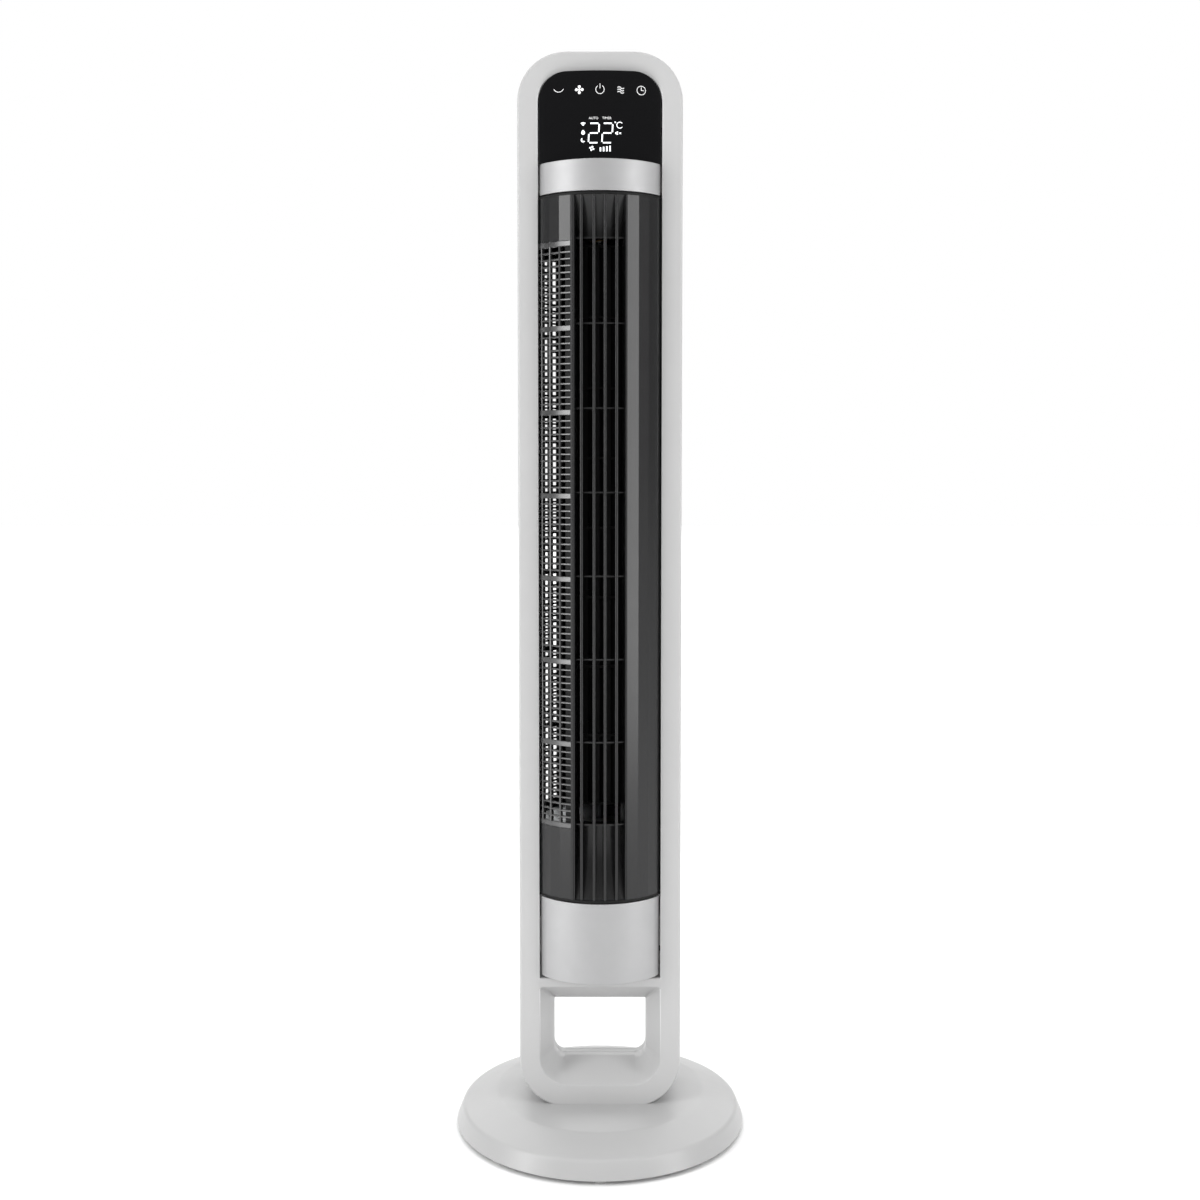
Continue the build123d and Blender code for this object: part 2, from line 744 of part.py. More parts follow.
with BuildPart() as swing_motor:
    with BuildSketch(Plane.XY.offset(deck_height - panel_gap)):
        with Locations(drive_motor_place):
            Circle(drive_motor_radius)
    extrude(amount=-drive_motor_height)
    fillet(swing_motor.edges().filter_by(GeomType.CIRCLE), edge_round / 2)
    with BuildSketch(Plane.XY.offset(deck_height)):
        with Locations(pinion_place):
            Circle(drive_shaft_radius + running_gap)
    extrude(amount=-drive_motor_height / 2, mode=Mode.SUBTRACT)
swing_motor.part.label = "swing_motor"

power_width = 74.0
power_height = 36.0
power_front = 26.0
power_middle = cover_bottom + 2 * cover_wall + power_height / 2
block_depth = 16.0
can_radius = 6.0
can_depth = 20.0
with BuildPart() as power_board:
    with BuildSketch(Plane.XZ.offset(power_front)):
        with Locations((0, power_middle)):
            Rectangle(power_width, power_height)
    extrude(amount=board_thickness)
    with BuildSketch(Plane.XZ.offset(power_front + board_thickness)):
        with Locations((-20, power_middle)):
            Rectangle(24, 22)
        with Locations((8, power_middle - 4)):
            Rectangle(14, 16)
    extrude(amount=block_depth)
    with BuildSketch(Plane.XZ.offset(power_front + board_thickness)):
        with Locations((26, power_middle + 2)):
            Circle(can_radius)
    extrude(amount=can_depth)
power_board.part.label = "power_board"

with BuildPart() as rail_wires:
    with BuildLine() as route:
        FilletPolyline(
            (opening_half - wire_tail, wire_y, wire_low),
            (wire_x, wire_y, wire_low),
            (wire_x, wire_y, wire_high),
            (carrier_half + wire_radius + 0.5, wire_y, wire_high),
            radius=wire_bend,
        )
    with BuildSketch(Plane(origin=route.line @ 0, z_dir=route.line % 0)):
        Circle(wire_radius)
    sweep()
rail_wires.part.label = "rail_wires"


# --- gears ---
def tooth_outline(teeth, phase):
    """One involute tooth centred on the angle phase, from inside the root to the tip."""
    pitch = gear_module * teeth / 2
    base = pitch * math.cos(math.radians(pressure_angle))
    root = pitch - 1.3 * gear_module
    tip = pitch + 0.9 * gear_module
    involute = math.tan(math.radians(pressure_angle)) - math.radians(pressure_angle)
    half_tooth = math.pi / (2 * teeth) - backlash / (4 * pitch)
    steps = 6
    flank = [(root - 0.3, half_tooth + involute)]
    for step in range(steps + 1):
        radius = max(base, root) + (tip - max(base, root)) * step / steps
        slant = math.acos(min(1.0, base / radius))
        flank.append((radius, half_tooth + involute - (math.tan(slant) - slant)))
    points = [(radius * math.cos(phase + turn), radius * math.sin(phase + turn)) for radius, turn in flank]
    flank.reverse()
    points += [(radius * math.cos(phase - turn), radius * math.sin(phase - turn)) for radius, turn in flank]
    return points


def toothed_disc(teeth, phase):
    """Flat outline of a gear about the origin."""
    with BuildSketch(mode=Mode.PRIVATE) as disc:
        Circle(gear_module * (teeth / 2 - 1.3))
        for tooth in range(teeth):
            with BuildLine():
                Polyline(*tooth_outline(teeth, phase + 2 * math.pi * tooth / teeth), close=True)
            make_face()
    return disc.sketch


gear_low = deck_top + gear_lift
with BuildPart() as drum_gear:
    with BuildSketch(Plane.XY.offset(gear_low)):
        add(toothed_disc(drum_gear_teeth, 0))
        Circle(journal_radius + screw_gap, mode=Mode.SUBTRACT)
    extrude(amount=gear_height)
drum_gear.part.label = "drum_gear"

pinion_phase = -math.pi / 2 + math.pi / pinion_teeth
with BuildPart() as drive_pinion:
    with BuildSketch(Plane.XY.offset(gear_low - 1)):
        with Locations(pinion_place):
            add(toothed_disc(pinion_teeth, pinion_phase))
    extrude(amount=gear_height + 2)
    with BuildSketch(Plane.XY.offset(gear_low - 1)):
        with Locations(pinion_place):
            Circle(drive_shaft_radius)
    extrude(amount=-(gear_low - 1 - deck_height) - drive_motor_height / 2 + 1)
drive_pinion.part.label = "drive_pinion"


# --- drum: shell, grilles, caps ---
def sector(inner, outer, start, end):
    """Flat ring segment between two radii and two angles from the front."""
    middle = (start + end) / 2
    with BuildSketch(mode=Mode.PRIVATE) as segment:
        with BuildLine():
            ThreePointArc(on_circle(outer, start), on_circle(outer, middle), on_circle(outer, end))
            Line(on_circle(outer, end), on_circle(inner, end))
            ThreePointArc(on_circle(inner, end), on_circle(inner, middle), on_circle(inner, start))
            Line(on_circle(inner, start), on_circle(outer, start))
        make_face()
    return segment.sketch


shell_low = drum_bottom + cap_thickness
shell_high = drum_top - cap_thickness
seat = math.degrees(fit_gap / drum_radius)
with BuildPart() as drum_shell:
    with BuildSketch(Plane.XY.offset(shell_low)):
        add(sector(inside_radius, drum_radius, outlet_half_angle, 360 - outlet_half_angle))
    extrude(amount=shell_high - shell_low)
    with BuildSketch(Plane.XY.offset(grille_bottom)):
        add(sector(inside_radius - 1, drum_radius + 1, -grille_end_angle, -grille_start_angle))
    extrude(amount=grille_top - grille_bottom, mode=Mode.SUBTRACT)
drum_shell.part.label = "drum_shell"

section_height = (grille_top - grille_bottom - grille_bar) / grille_sections
rib_total = round((grille_end_angle - grille_start_angle) / grille_rib_pitch)
rib_step = (grille_end_angle - grille_start_angle) / rib_total
rib_angle = math.degrees(grille_rib_width / drum_radius)
with BuildPart() as intake_grille:
    for ring in range(grille_sections + 1):
        with BuildSketch(Plane.XY.offset(grille_bottom + ring * section_height)):
            add(sector(inside_radius, drum_radius, -grille_end_angle + seat, -grille_start_angle - seat))
        trim = fit_gap if ring in (0, grille_sections) else 0
        extrude(amount=grille_bar - trim)
    with BuildSketch(Plane.XY.offset(grille_bottom + fit_gap)):
        for rib in range(rib_total + 1):
            angle = -grille_start_angle - rib * rib_step
            low_angle = max(angle - rib_angle / 2, -grille_end_angle + seat)
            high_angle = min(angle + rib_angle / 2, -grille_start_angle - seat)
            add(sector(inside_radius, drum_radius - grille_rib_setback, low_angle, high_angle))
    extrude(amount=grille_top - grille_bottom - 2 * fit_gap)
intake_grille.part.label = "intake_grille"

side_angle = outlet_half_angle - seat
wall_angle = math.degrees(outlet_wall / drum_radius)
with BuildPart() as outlet_grille:
    with BuildSketch(Plane.XY.offset(shell_low)):
        add(sector(outlet_inner, drum_radius, side_angle - wall_angle, side_angle))
        add(sector(outlet_inner, drum_radius, -side_angle, -side_angle + wall_angle))
        for fin in fin_places:
            front = math.sqrt(drum_radius ** 2 - (abs(fin) + fin_thickness / 2) ** 2)
            with Locations((fin, -(front + fin_inner) / 2)):
                Rectangle(fin_thickness, front - fin_inner)
    extrude(amount=shell_high - shell_low)
    for rib in range(rib_count):
        with BuildSketch(Plane.XY.offset(rib_lowest + rib * rib_pitch)):
            add(sector(outlet_inner, drum_radius - rib_setback, -side_angle, side_angle))
        extrude(amount=rib_thickness)
    for low, high in ((shell_low, rib_lowest), (rib_lowest + (rib_count - 1) * rib_pitch, shell_high)):
        with BuildSketch(Plane.XY.offset(low)):
            add(sector(outlet_inner, outlet_inner + cover_wall, -side_angle, side_angle))
        extrude(amount=high - low)
outlet_grille.part.label = "outlet_grille"


def drum_cap(name, base, direction, hub, bore, reach):
    """End cap with a spigot inside the drum and a hollow journal outside it."""
    with BuildPart() as cap:
        with BuildSketch(Plane.XY.offset(base)):
            Circle(drum_radius)
        extrude(amount=direction * cap_thickness)
        with BuildSketch(Plane.XY.offset(base + direction * cap_thickness)):
            Circle(fin_inner - fit_gap - 1)
            Circle(fin_inner - fit_gap - 1 - spigot_wall, mode=Mode.SUBTRACT)
        extrude(amount=direction * spigot_height)
        with BuildSketch(Plane.XY.offset(base)):
            Circle(hub)
        extrude(amount=-direction * reach)
        with BuildSketch(Plane.XY.offset(base - direction * reach)):
            Circle(bore)
        extrude(amount=direction * (reach + cap_thickness), mode=Mode.SUBTRACT)
    cap.part.label = name
    return cap


lower_reach = drum_bottom - deck_height - 1.5
upper_reach = chassis_height + 9 - drum_top
drum_bottom_cap = drum_cap("drum_bottom_cap", drum_bottom, 1, journal_radius, journal_bore, lower_reach)
drum_top_cap = drum_cap("drum_top_cap", drum_top, -1, upper_journal, upper_bore, upper_reach)

# --- drum: air guide, motor and bearing plates ---
guide_low = mount_plate_height + inner_plate + fit_gap
guide_high = bearing_plate_height - fit_gap
guide_clear = impeller_radius + duct_gap
guide_start = outlet_half_angle + 1.5
guide_end = 170.0
guide_wall = 2.0
guide_steps = 6


def guide_point(share, grow):
    """A point on the scroll wall, closing in on the impeller from the outlet to the back."""
    start_radius = inside_radius - duct_gap
    radius = start_radius - (start_radius - guide_clear) * share
    return on_circle(radius + grow, guide_start + (guide_end - guide_start) * share)


with BuildPart() as scroll_wall:
    with BuildSketch(Plane.XY.offset(guide_low)):
        with BuildLine():
            inner_line = [guide_point(step / guide_steps, 0) for step in range(guide_steps + 1)]
            outer_line = [guide_point(step / guide_steps, guide_wall) for step in range(guide_steps + 1)]
            Spline(*inner_line)
            Line(inner_line[-1], outer_line[-1])
            Spline(*outer_line)
            Line(outer_line[0], inner_line[0])
        make_face()
    extrude(amount=guide_high - guide_low)
scroll_wall.part.label = "scroll_wall"

tongue_angle = -outlet_half_angle - 3.0
tongue_width = 5.0
tongue_round = 1.5
with BuildPart() as air_tongue:
    with BuildSketch(Plane.XY.offset(guide_low)) as tongue:
        add(sector(guide_clear, inside_radius - 1, tongue_angle - tongue_width, tongue_angle))
        fillet(tongue.vertices().sort_by(Axis.Y)[-2:], tongue_round)
    extrude(amount=guide_high - guide_low)
air_tongue.part.label = "air_tongue"

plate_rim = inside_radius - fit_gap
with BuildPart() as motor_plate:
    with BuildSketch(Plane.XY.offset(mount_plate_height)):
        Circle(fin_inner - fit_gap - 1)
        add(sector(deck_radius / 2, plate_rim, outlet_half_angle + 3, 360 - outlet_half_angle - 3))
        Circle(shaft_radius + cover_wall, mode=Mode.SUBTRACT)
        with PolarLocations(motor_screw_ring, motor_screw_count):
            Circle(screw_radius + slack_gap, mode=Mode.SUBTRACT)
    extrude(amount=inner_plate)
motor_plate.part.label = "motor_plate"

motor_top = motor_bottom + motor_height
with BuildPart() as motor_housing:
    with BuildSketch(Plane.XY.offset(motor_bottom)):
        Circle(motor_radius)
    extrude(amount=motor_height)
    fillet(motor_housing.edges().filter_by(GeomType.CIRCLE), motor_round)
    with BuildSketch(Plane.XY.offset(motor_bottom + 3 * motor_wall)):
        Circle(motor_radius - motor_wall)
    extrude(amount=motor_height - 6 * motor_wall, mode=Mode.SUBTRACT)
    with BuildSketch(Plane.XY.offset(motor_bottom)):
        Circle(shaft_radius + running_gap)
        with PolarLocations(motor_screw_ring, motor_screw_count):
            Circle(screw_radius + slack_gap)
    extrude(amount=motor_height, mode=Mode.SUBTRACT)
motor_housing.part.label = "motor_housing"

stator_low = motor_bottom + stator_inset
stator_height = motor_height - 2 * stator_inset
with BuildPart() as motor_stator:
    with BuildSketch(Plane.XY.offset(stator_low)):
        Circle(motor_radius - motor_wall - fit_gap)
        Circle(rotor_radius + air_gap, mode=Mode.SUBTRACT)
        with PolarLocations(motor_screw_ring, motor_screw_count):
            Circle(screw_radius + 1, mode=Mode.SUBTRACT)
    extrude(amount=stator_height)
motor_stator.part.label = "motor_stator"

with BuildPart() as motor_rotor:
    with BuildSketch(Plane.XY.offset(stator_low)):
        Circle(rotor_radius)
    extrude(amount=stator_height)
    with BuildSketch(Plane.XY.offset(motor_bottom)):
        Circle(shaft_radius)
    extrude(amount=impeller_bottom + shaft_seat - motor_bottom)
motor_rotor.part.label = "motor_rotor"

with BuildPart() as motor_mounts:
    with BuildSketch(Plane.XY.offset(motor_top)):
        with PolarLocations(motor_screw_ring, motor_screw_count):
            Circle(mount_radius)
            Circle(screw_radius + slack_gap, mode=Mode.SUBTRACT)
    extrude(amount=mount_plate_height - motor_top)
motor_mounts.part.label = "motor_mounts"

with BuildPart() as motor_screws:
    with BuildSketch(Plane.XY.offset(motor_top - motor_screw_depth)):
        with PolarLocations(motor_screw_ring, motor_screw_count):
            Circle(screw_radius)
    extrude(amount=mount_plate_height + inner_plate - motor_top + motor_screw_depth)
    with BuildSketch(Plane.XY.offset(mount_plate_height + inner_plate)):
        with PolarLocations(motor_screw_ring, motor_screw_count):
            Circle(head_radius)
    extrude(amount=head_height)
motor_screws.part.label = "motor_screws"

bearing_outer = shaft_radius + bearing_ring
with BuildPart() as bearing_plate:
    with BuildSketch(Plane.XY.offset(bearing_plate_height)):
        Circle(fin_inner - fit_gap - 1)
        add(sector(deck_radius / 2, plate_rim, outlet_half_angle + 3, 360 - outlet_half_angle - 3))
        Circle(bearing_outer + screw_gap, mode=Mode.SUBTRACT)
    extrude(amount=inner_plate)
bearing_plate.part.label = "bearing_plate"

with BuildPart() as impeller_bearing:
    with BuildSketch(Plane.XY.offset(bearing_plate_height - 1)):
        Circle(bearing_outer)
        Circle(shaft_radius + running_gap, mode=Mode.SUBTRACT)
    extrude(amount=2 * inner_plate)
impeller_bearing.part.label = "impeller_bearing"

# --- impeller ---
blade_inner = impeller_radius - ring_width + 2
blade_outer = impeller_radius - 0.5


def blade_outline():
    """One forward-curved blade of the impeller, as a thin crescent."""
    with BuildSketch(mode=Mode.PRIVATE) as blade:
        with BuildLine():
            start = on_circle(blade_inner, 0)
            middle = on_circle((blade_inner + blade_outer) / 2, blade_belly)
            end = on_circle(blade_outer, blade_lead)
            back = on_circle((blade_inner + blade_outer) / 2 + blade_thickness, blade_belly)
            ThreePointArc(start, middle, end)
            ThreePointArc(end, back, start)
        make_face()
    return blade.sketch


with BuildPart() as impeller_blades:
    for section in range(impeller_sections):
        section_low = impeller_bottom + section * section_pitch
        with BuildSketch(Plane.XY.offset(section_low)):
            Circle(impeller_radius)
            inner_hole = shaft_radius + screw_gap if section == 0 else impeller_radius - ring_width
            Circle(inner_hole, mode=Mode.SUBTRACT)
        extrude(amount=ring_thickness)
        with BuildSketch(Plane.XY.offset(section_low + ring_thickness)):
            with PolarLocations(0, blade_count):
                add(blade_outline())
        extrude(amount=section_pitch - ring_thickness)
impeller_blades.part.label = "impeller_blades"

with BuildPart() as impeller_end:
    with BuildSketch(Plane.XY.offset(impeller_top)):
        Circle(impeller_radius)
    extrude(amount=ring_thickness)
    with BuildSketch(Plane.XY.offset(impeller_top + ring_thickness)):
        Circle(shaft_radius + hub_wall)
    extrude(amount=hub_height)
    with BuildSketch(Plane.XY.offset(impeller_top)):
        Circle(shaft_radius + screw_gap)
    extrude(amount=ring_thickness + hub_height, mode=Mode.SUBTRACT)
impeller_end.part.label = "impeller_end"

with BuildPart() as end_shaft:
    with BuildSketch(Plane.XY.offset(impeller_top)):
        Circle(shaft_radius)
    extrude(amount=bearing_plate_height + 3 * inner_plate - impeller_top)
end_shaft.part.label = "end_shaft"

pieces = [
    frame_front, frame_rear, frame_screws, base_cover, base_plate, rubber_feet, base_screws, neck_tube,
    lock_nut, cord_gland, lower_cover, lower_rear_cover, upper_band, upper_rear_band, display_panel,
    head_rear_cover, head_chassis, upper_bush, display_carrier, control_board, led_display, touch_springs,
    drive_deck, deck_screws, lower_bearing, swing_motor, power_board, rail_wires, drum_gear, drive_pinion,
    drum_shell, intake_grille, outlet_grille, drum_bottom_cap, drum_top_cap, scroll_wall, air_tongue,
    motor_plate, motor_housing, motor_stator, motor_rotor, motor_mounts, motor_screws, bearing_plate,
    impeller_bearing, impeller_blades, impeller_end, end_shaft,
]
os.makedirs("parts", exist_ok=True)
for piece in pieces:
    export_step(piece.part, "parts/" + piece.part.label + ".step")
    print(piece.part.label, round(piece.part.volume), len(piece.part.solids()))
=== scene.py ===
import math

import bmesh
import bpy
from mathutils import Matrix, Vector


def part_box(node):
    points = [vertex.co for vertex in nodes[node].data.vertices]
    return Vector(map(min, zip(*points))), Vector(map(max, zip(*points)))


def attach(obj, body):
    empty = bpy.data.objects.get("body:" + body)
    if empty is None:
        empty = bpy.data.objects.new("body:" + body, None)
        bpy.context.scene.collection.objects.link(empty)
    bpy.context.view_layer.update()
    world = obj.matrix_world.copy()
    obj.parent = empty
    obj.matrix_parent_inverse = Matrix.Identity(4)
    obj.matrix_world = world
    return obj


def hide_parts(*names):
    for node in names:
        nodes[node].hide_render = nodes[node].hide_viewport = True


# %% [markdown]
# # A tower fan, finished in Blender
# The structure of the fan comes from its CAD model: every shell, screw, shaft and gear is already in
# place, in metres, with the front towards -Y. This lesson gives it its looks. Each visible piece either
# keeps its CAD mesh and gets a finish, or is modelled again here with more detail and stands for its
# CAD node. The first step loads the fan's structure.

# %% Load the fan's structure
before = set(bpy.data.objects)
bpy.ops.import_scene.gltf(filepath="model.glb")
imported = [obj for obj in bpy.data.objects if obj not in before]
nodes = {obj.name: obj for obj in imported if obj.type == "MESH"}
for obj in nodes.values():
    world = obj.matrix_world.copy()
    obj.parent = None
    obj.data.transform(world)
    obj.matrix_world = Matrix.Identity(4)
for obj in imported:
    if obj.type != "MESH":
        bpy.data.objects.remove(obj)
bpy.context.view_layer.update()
scene = bpy.context.scene
MM = 0.001

# %% [markdown]
# The places that the new pieces need are read from the CAD boxes, so they follow the model: the drum's
# radius and ends, the grille's ends, the frame's opening and the display's edges.

# %% Measure the structure
drum_low, drum_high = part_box("drum_shell")
drum_radius = drum_high.x
shell_bottom = drum_low.z
shell_top = drum_high.z
grille_low, grille_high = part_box("intake_grille")
panel_low, panel_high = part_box("display_panel")
opening_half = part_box("lower_cover")[1].x
print("drum radius", round(drum_radius, 4), "from", round(shell_bottom, 4), "to", round(shell_top, 4))

# %% [markdown]
# ## Finishes
# Nearly everything that shows is injection-moulded plastic. A mould gives the surface a very fine spark
# texture, so a moulded part is never a mirror: its highlight is broken up at a scale of a tenth of a
# millimetre, and its gloss wanders a little over a hand's width. One helper makes that finish from
# three noises: fine grain for bump, broad clouds for colour, and a middle size for roughness.

# %% A helper for moulded plastic
def link(tree, source, target):
    """Joins two sockets of a material's node tree."""
    tree.links.new(source, target)


def noise(tree, coordinates, scale, detail=3.0, roughness=0.55):
    """A noise texture on the piece's own coordinates."""
    texture = tree.nodes.new("ShaderNodeTexNoise")
    texture.inputs["Scale"].default_value = scale
    texture.inputs["Detail"].default_value = detail
    texture.inputs["Roughness"].default_value = roughness
    link(tree, coordinates.outputs["Object"], texture.inputs["Vector"])
    return texture


def spread(tree, texture, low, high):
    """Maps a texture's middle range to the values from low to high."""
    ramp = tree.nodes.new("ShaderNodeMapRange")
    ramp.inputs["From Min"].default_value = 0.3
    ramp.inputs["From Max"].default_value = 0.7
    ramp.inputs["To Min"].default_value = low
    ramp.inputs["To Max"].default_value = high
    link(tree, texture.outputs["Fac"], ramp.inputs["Value"])
    return ramp


def start_finish(name):
    """An empty finish with its shader and coordinates."""
    finish = bpy.data.materials.new(name)
    finish.use_nodes = True
    tree = finish.node_tree
    shader = tree.nodes["Principled BSDF"]
    coordinates = tree.nodes.new("ShaderNodeTexCoord")
    return finish, tree, shader, coordinates


def moulded(name, colour, gloss, grain=900.0, depth=0.00003, clouds=0.03, strength=0.35, wander=0.04):
    """Moulded plastic: colour with faint clouds, uneven gloss and a fine spark texture."""
    finish, tree, shader, coordinates = start_finish(name)
    broad = noise(tree, coordinates, 9.0)
    mix = tree.nodes.new("ShaderNodeMix")
    mix.data_type = "RGBA"
    mix.inputs["A"].default_value = [c * (1 - clouds) for c in colour] + [1]
    mix.inputs["B"].default_value = [min(1, c * (1 + clouds)) for c in colour] + [1]
    link(tree, broad.outputs["Fac"], mix.inputs["Factor"])
    link(tree, mix.outputs["Result"], shader.inputs["Base Color"])
    uneven = spread(tree, noise(tree, coordinates, 60.0), gloss - wander, gloss + wander)
    link(tree, uneven.outputs["Result"], shader.inputs["Roughness"])
    spark = noise(tree, coordinates, grain, 2.0)
    bump = tree.nodes.new("ShaderNodeBump")
    bump.inputs["Strength"].default_value = strength
    bump.inputs["Distance"].default_value = depth
    link(tree, spark.outputs["Fac"], bump.inputs["Height"])
    link(tree, bump.outputs["Normal"], shader.inputs["Normal"])
    return finish


def set_input(finish, socket, value):
    """Sets one plain value on a finish's shader."""
    finish.node_tree.nodes["Principled BSDF"].inputs[socket].default_value = value


# %% [markdown]
# The frame and base are white ABS with a satin sheen. The frame's eased edge along its opening is a
# little glossier and painted a lighter white, a painted highlight line. The covers above and below the drum
# have a pearl look, soft and half metallic, that brightens to the sides. The drum is charcoal and glossy
# enough to show the studio lights as long upright streaks.
# The intake mesh is the same charcoal with a stronger shine, because its bars are so thin that only
# their bright edges show.

# %% Plastic finishes
white_shell = moulded("white shell plastic", (0.475, 0.475, 0.475), 0.34, strength=0.12)
white_base = moulded("white base plastic", (0.415, 0.415, 0.415), 0.36, strength=0.12)
# A lighter white for the opening's eased edge: a painted highlight line, not a different plastic.
painted_highlight_edge = moulded("white edge painted as highlight", (0.68, 0.68, 0.68), 0.25, strength=0.08)
pearl_cover = moulded("pearl cover plastic", (0.42, 0.42, 0.424), 0.55, grain=1400.0, depth=0.00001,
                      strength=0.05)
set_input(pearl_cover, "Metallic", 0.7)
charcoal = moulded("charcoal drum plastic", (0.010, 0.010, 0.0105), 0.24, grain=1200.0, depth=0.00001,
                   clouds=0.08, strength=0.05, wander=0.01)
set_input(charcoal, "Specular IOR Level", 0.40)
grille_charcoal = moulded("charcoal grille plastic", (0.03, 0.03, 0.0305), 0.28, grain=1200.0,
                          depth=0.00001, strength=0.05, wander=0.02)
set_input(grille_charcoal, "Specular IOR Level", 1.0)
duct_black = moulded("black duct plastic", (0.006, 0.006, 0.006), 0.55)
set_input(duct_black, "Specular IOR Level", 0.2)
inner_natural = moulded("natural inner plastic", (0.55, 0.54, 0.50), 0.5)
acetal = moulded("acetal gear plastic", (0.62, 0.60, 0.53), 0.35, grain=600.0)
soft_rubber = moulded("grey rubber", (0.40, 0.40, 0.39), 0.7, grain=500.0, depth=0.00006)
black_sleeve = moulded("black wire sleeve", (0.015, 0.015, 0.015), 0.55)
board_green = moulded("green circuit board", (0.02, 0.12, 0.05), 0.35, clouds=0.15)
glow_guide = moulded("white light guide", (0.7, 0.72, 0.74), 0.25)
print("plastic finishes ready")

# %% [markdown]
# The display is a black acrylic plate, polished and very flat, so it keeps a clear reflection. It still
# has faint wipe marks in its gloss. Its read-out is lit from behind with a soft white glow; its printed
# marks get a fainter painted glow.

# %% Display finishes
black_gloss, tree, shader, coordinates = start_finish("black display acrylic")
shader.inputs["Base Color"].default_value = (0.003, 0.003, 0.0035, 1)
shader.inputs["Specular IOR Level"].default_value = 0.18
wipes = spread(tree, noise(tree, coordinates, 14.0, 4.0), 0.10, 0.19)
link(tree, wipes.outputs["Result"], shader.inputs["Roughness"])
haze = tree.nodes.new("ShaderNodeBump")
haze.inputs["Strength"].default_value = 0.05
haze.inputs["Distance"].default_value = 0.00002
link(tree, noise(tree, coordinates, 160.0).outputs["Fac"], haze.inputs["Height"])
link(tree, haze.outputs["Normal"], shader.inputs["Normal"])


def glowing(name, colour, strength):
    """A glowing mark, a little uneven like a light guide; on printed marks the glow is painted light."""
    finish, tree, shader, coordinates = start_finish(name)
    shader.inputs["Roughness"].default_value = 0.4
    uneven = noise(tree, coordinates, 700.0, 2.0)
    mix = tree.nodes.new("ShaderNodeMix")
    mix.data_type = "RGBA"
    mix.inputs["A"].default_value = [c * 0.85 for c in colour] + [1]
    mix.inputs["B"].default_value = list(colour) + [1]
    link(tree, uneven.outputs["Fac"], mix.inputs["Factor"])
    link(tree, mix.outputs["Result"], shader.inputs["Base Color"])
    link(tree, mix.outputs["Result"], shader.inputs["Emission Color"])
    shader.inputs["Emission Strength"].default_value = strength
    return finish


lit_digits = glowing("lit digits", (0.95, 0.98, 1.0), 1.0)
# Printed marks give no light of their own: this glow is a painted glow.
printed_marks_painted_glow = glowing("printed touch marks with painted glow", (0.80, 0.80, 0.80), 0.35)
print("display finishes ready")

# %% [markdown]
# Screws, shafts, motor cans and the sintered bush are metal. Drawn and turned metal has fine lines, so
# the noise is stretched along one axis before it drives the bump and the gloss. The motor's rotor shows
# low in the outlet from the side, and its steel is painted nearly black, a painted shade that keeps it
# quiet there.

# %% Metal finishes
def drawn_metal(name, colour, gloss, stretch=(40.0, 40.0, 900.0)):
    """Metal with fine lines across its length."""
    finish, tree, shader, coordinates = start_finish(name)
    shader.inputs["Base Color"].default_value = list(colour) + [1]
    shader.inputs["Metallic"].default_value = 1.0
    mapping = tree.nodes.new("ShaderNodeMapping")
    mapping.inputs["Scale"].default_value = stretch
    link(tree, coordinates.outputs["Object"], mapping.inputs["Vector"])
    lines = tree.nodes.new("ShaderNodeTexNoise")
    lines.inputs["Scale"].default_value = 3.0
    link(tree, mapping.outputs["Vector"], lines.inputs["Vector"])
    uneven = spread(tree, lines, gloss - 0.06, gloss + 0.08)
    link(tree, uneven.outputs["Result"], shader.inputs["Roughness"])
    bump = tree.nodes.new("ShaderNodeBump")
    bump.inputs["Strength"].default_value = 0.25
    bump.inputs["Distance"].default_value = 0.00003
    link(tree, lines.outputs["Fac"], bump.inputs["Height"])
    link(tree, bump.outputs["Normal"], shader.inputs["Normal"])
    return finish


screw_steel = drawn_metal("zinc screw steel", (0.55, 0.56, 0.58), 0.35)
can_steel = drawn_metal("plated can steel", (0.50, 0.51, 0.52), 0.32, (30.0, 30.0, 600.0))
bright_shaft = drawn_metal("ground shaft steel", (0.62, 0.62, 0.63), 0.22)
# The rotor's near-black steel is painted shade for where it shows inside the outlet.
rotor_steel_painted_shade = drawn_metal("rotor steel painted dark as shade", (0.05, 0.05, 0.055), 0.45)
bronze = drawn_metal("sintered bronze", (0.50, 0.33, 0.16), 0.45, (300.0, 300.0, 300.0))
print("metal finishes ready")

# %% [markdown]
# Every CAD node that stays in view gets its finish by its own name. What is sealed inside gets one too,
# because the fan can be opened.

# %% Dress the CAD nodes
finishes = {
    white_shell: ("frame_front", "frame_rear", "head_rear_cover"),
    white_base: ("base_cover", "base_plate"),
    pearl_cover: ("lower_cover", "lower_rear_cover", "upper_band", "upper_rear_band"),
    black_gloss: ("display_panel",),
    soft_rubber: ("rubber_feet", "cord_gland", "motor_mounts"),
    screw_steel: ("frame_screws", "base_screws", "deck_screws", "motor_screws", "touch_springs"),
    inner_natural: ("neck_tube", "lock_nut", "head_chassis", "display_carrier", "drive_deck",
                    "upper_bush", "lower_bearing"),
    board_green: ("control_board", "power_board"),
    glow_guide: ("led_display",),
    can_steel: ("swing_motor", "motor_housing", "motor_stator", "motor_plate"),
    black_sleeve: ("rail_wires",),
    acetal: ("drum_gear", "drive_pinion"),
    charcoal: ("drum_shell", "intake_grille", "outlet_grille"),
    duct_black: ("drum_bottom_cap", "drum_top_cap", "scroll_wall", "air_tongue", "bearing_plate",
                 "impeller_blades", "impeller_end"),
    rotor_steel_painted_shade: ("motor_rotor",),
    bright_shaft: ("end_shaft",),
    bronze: ("impeller_bearing",),
}
for finish, names in finishes.items():
    for name in names:
        nodes[name].data.materials.clear()
        nodes[name].data.materials.append(finish)
print("dressed", sum(len(names) for names in finishes.values()), "of", len(nodes), "nodes")
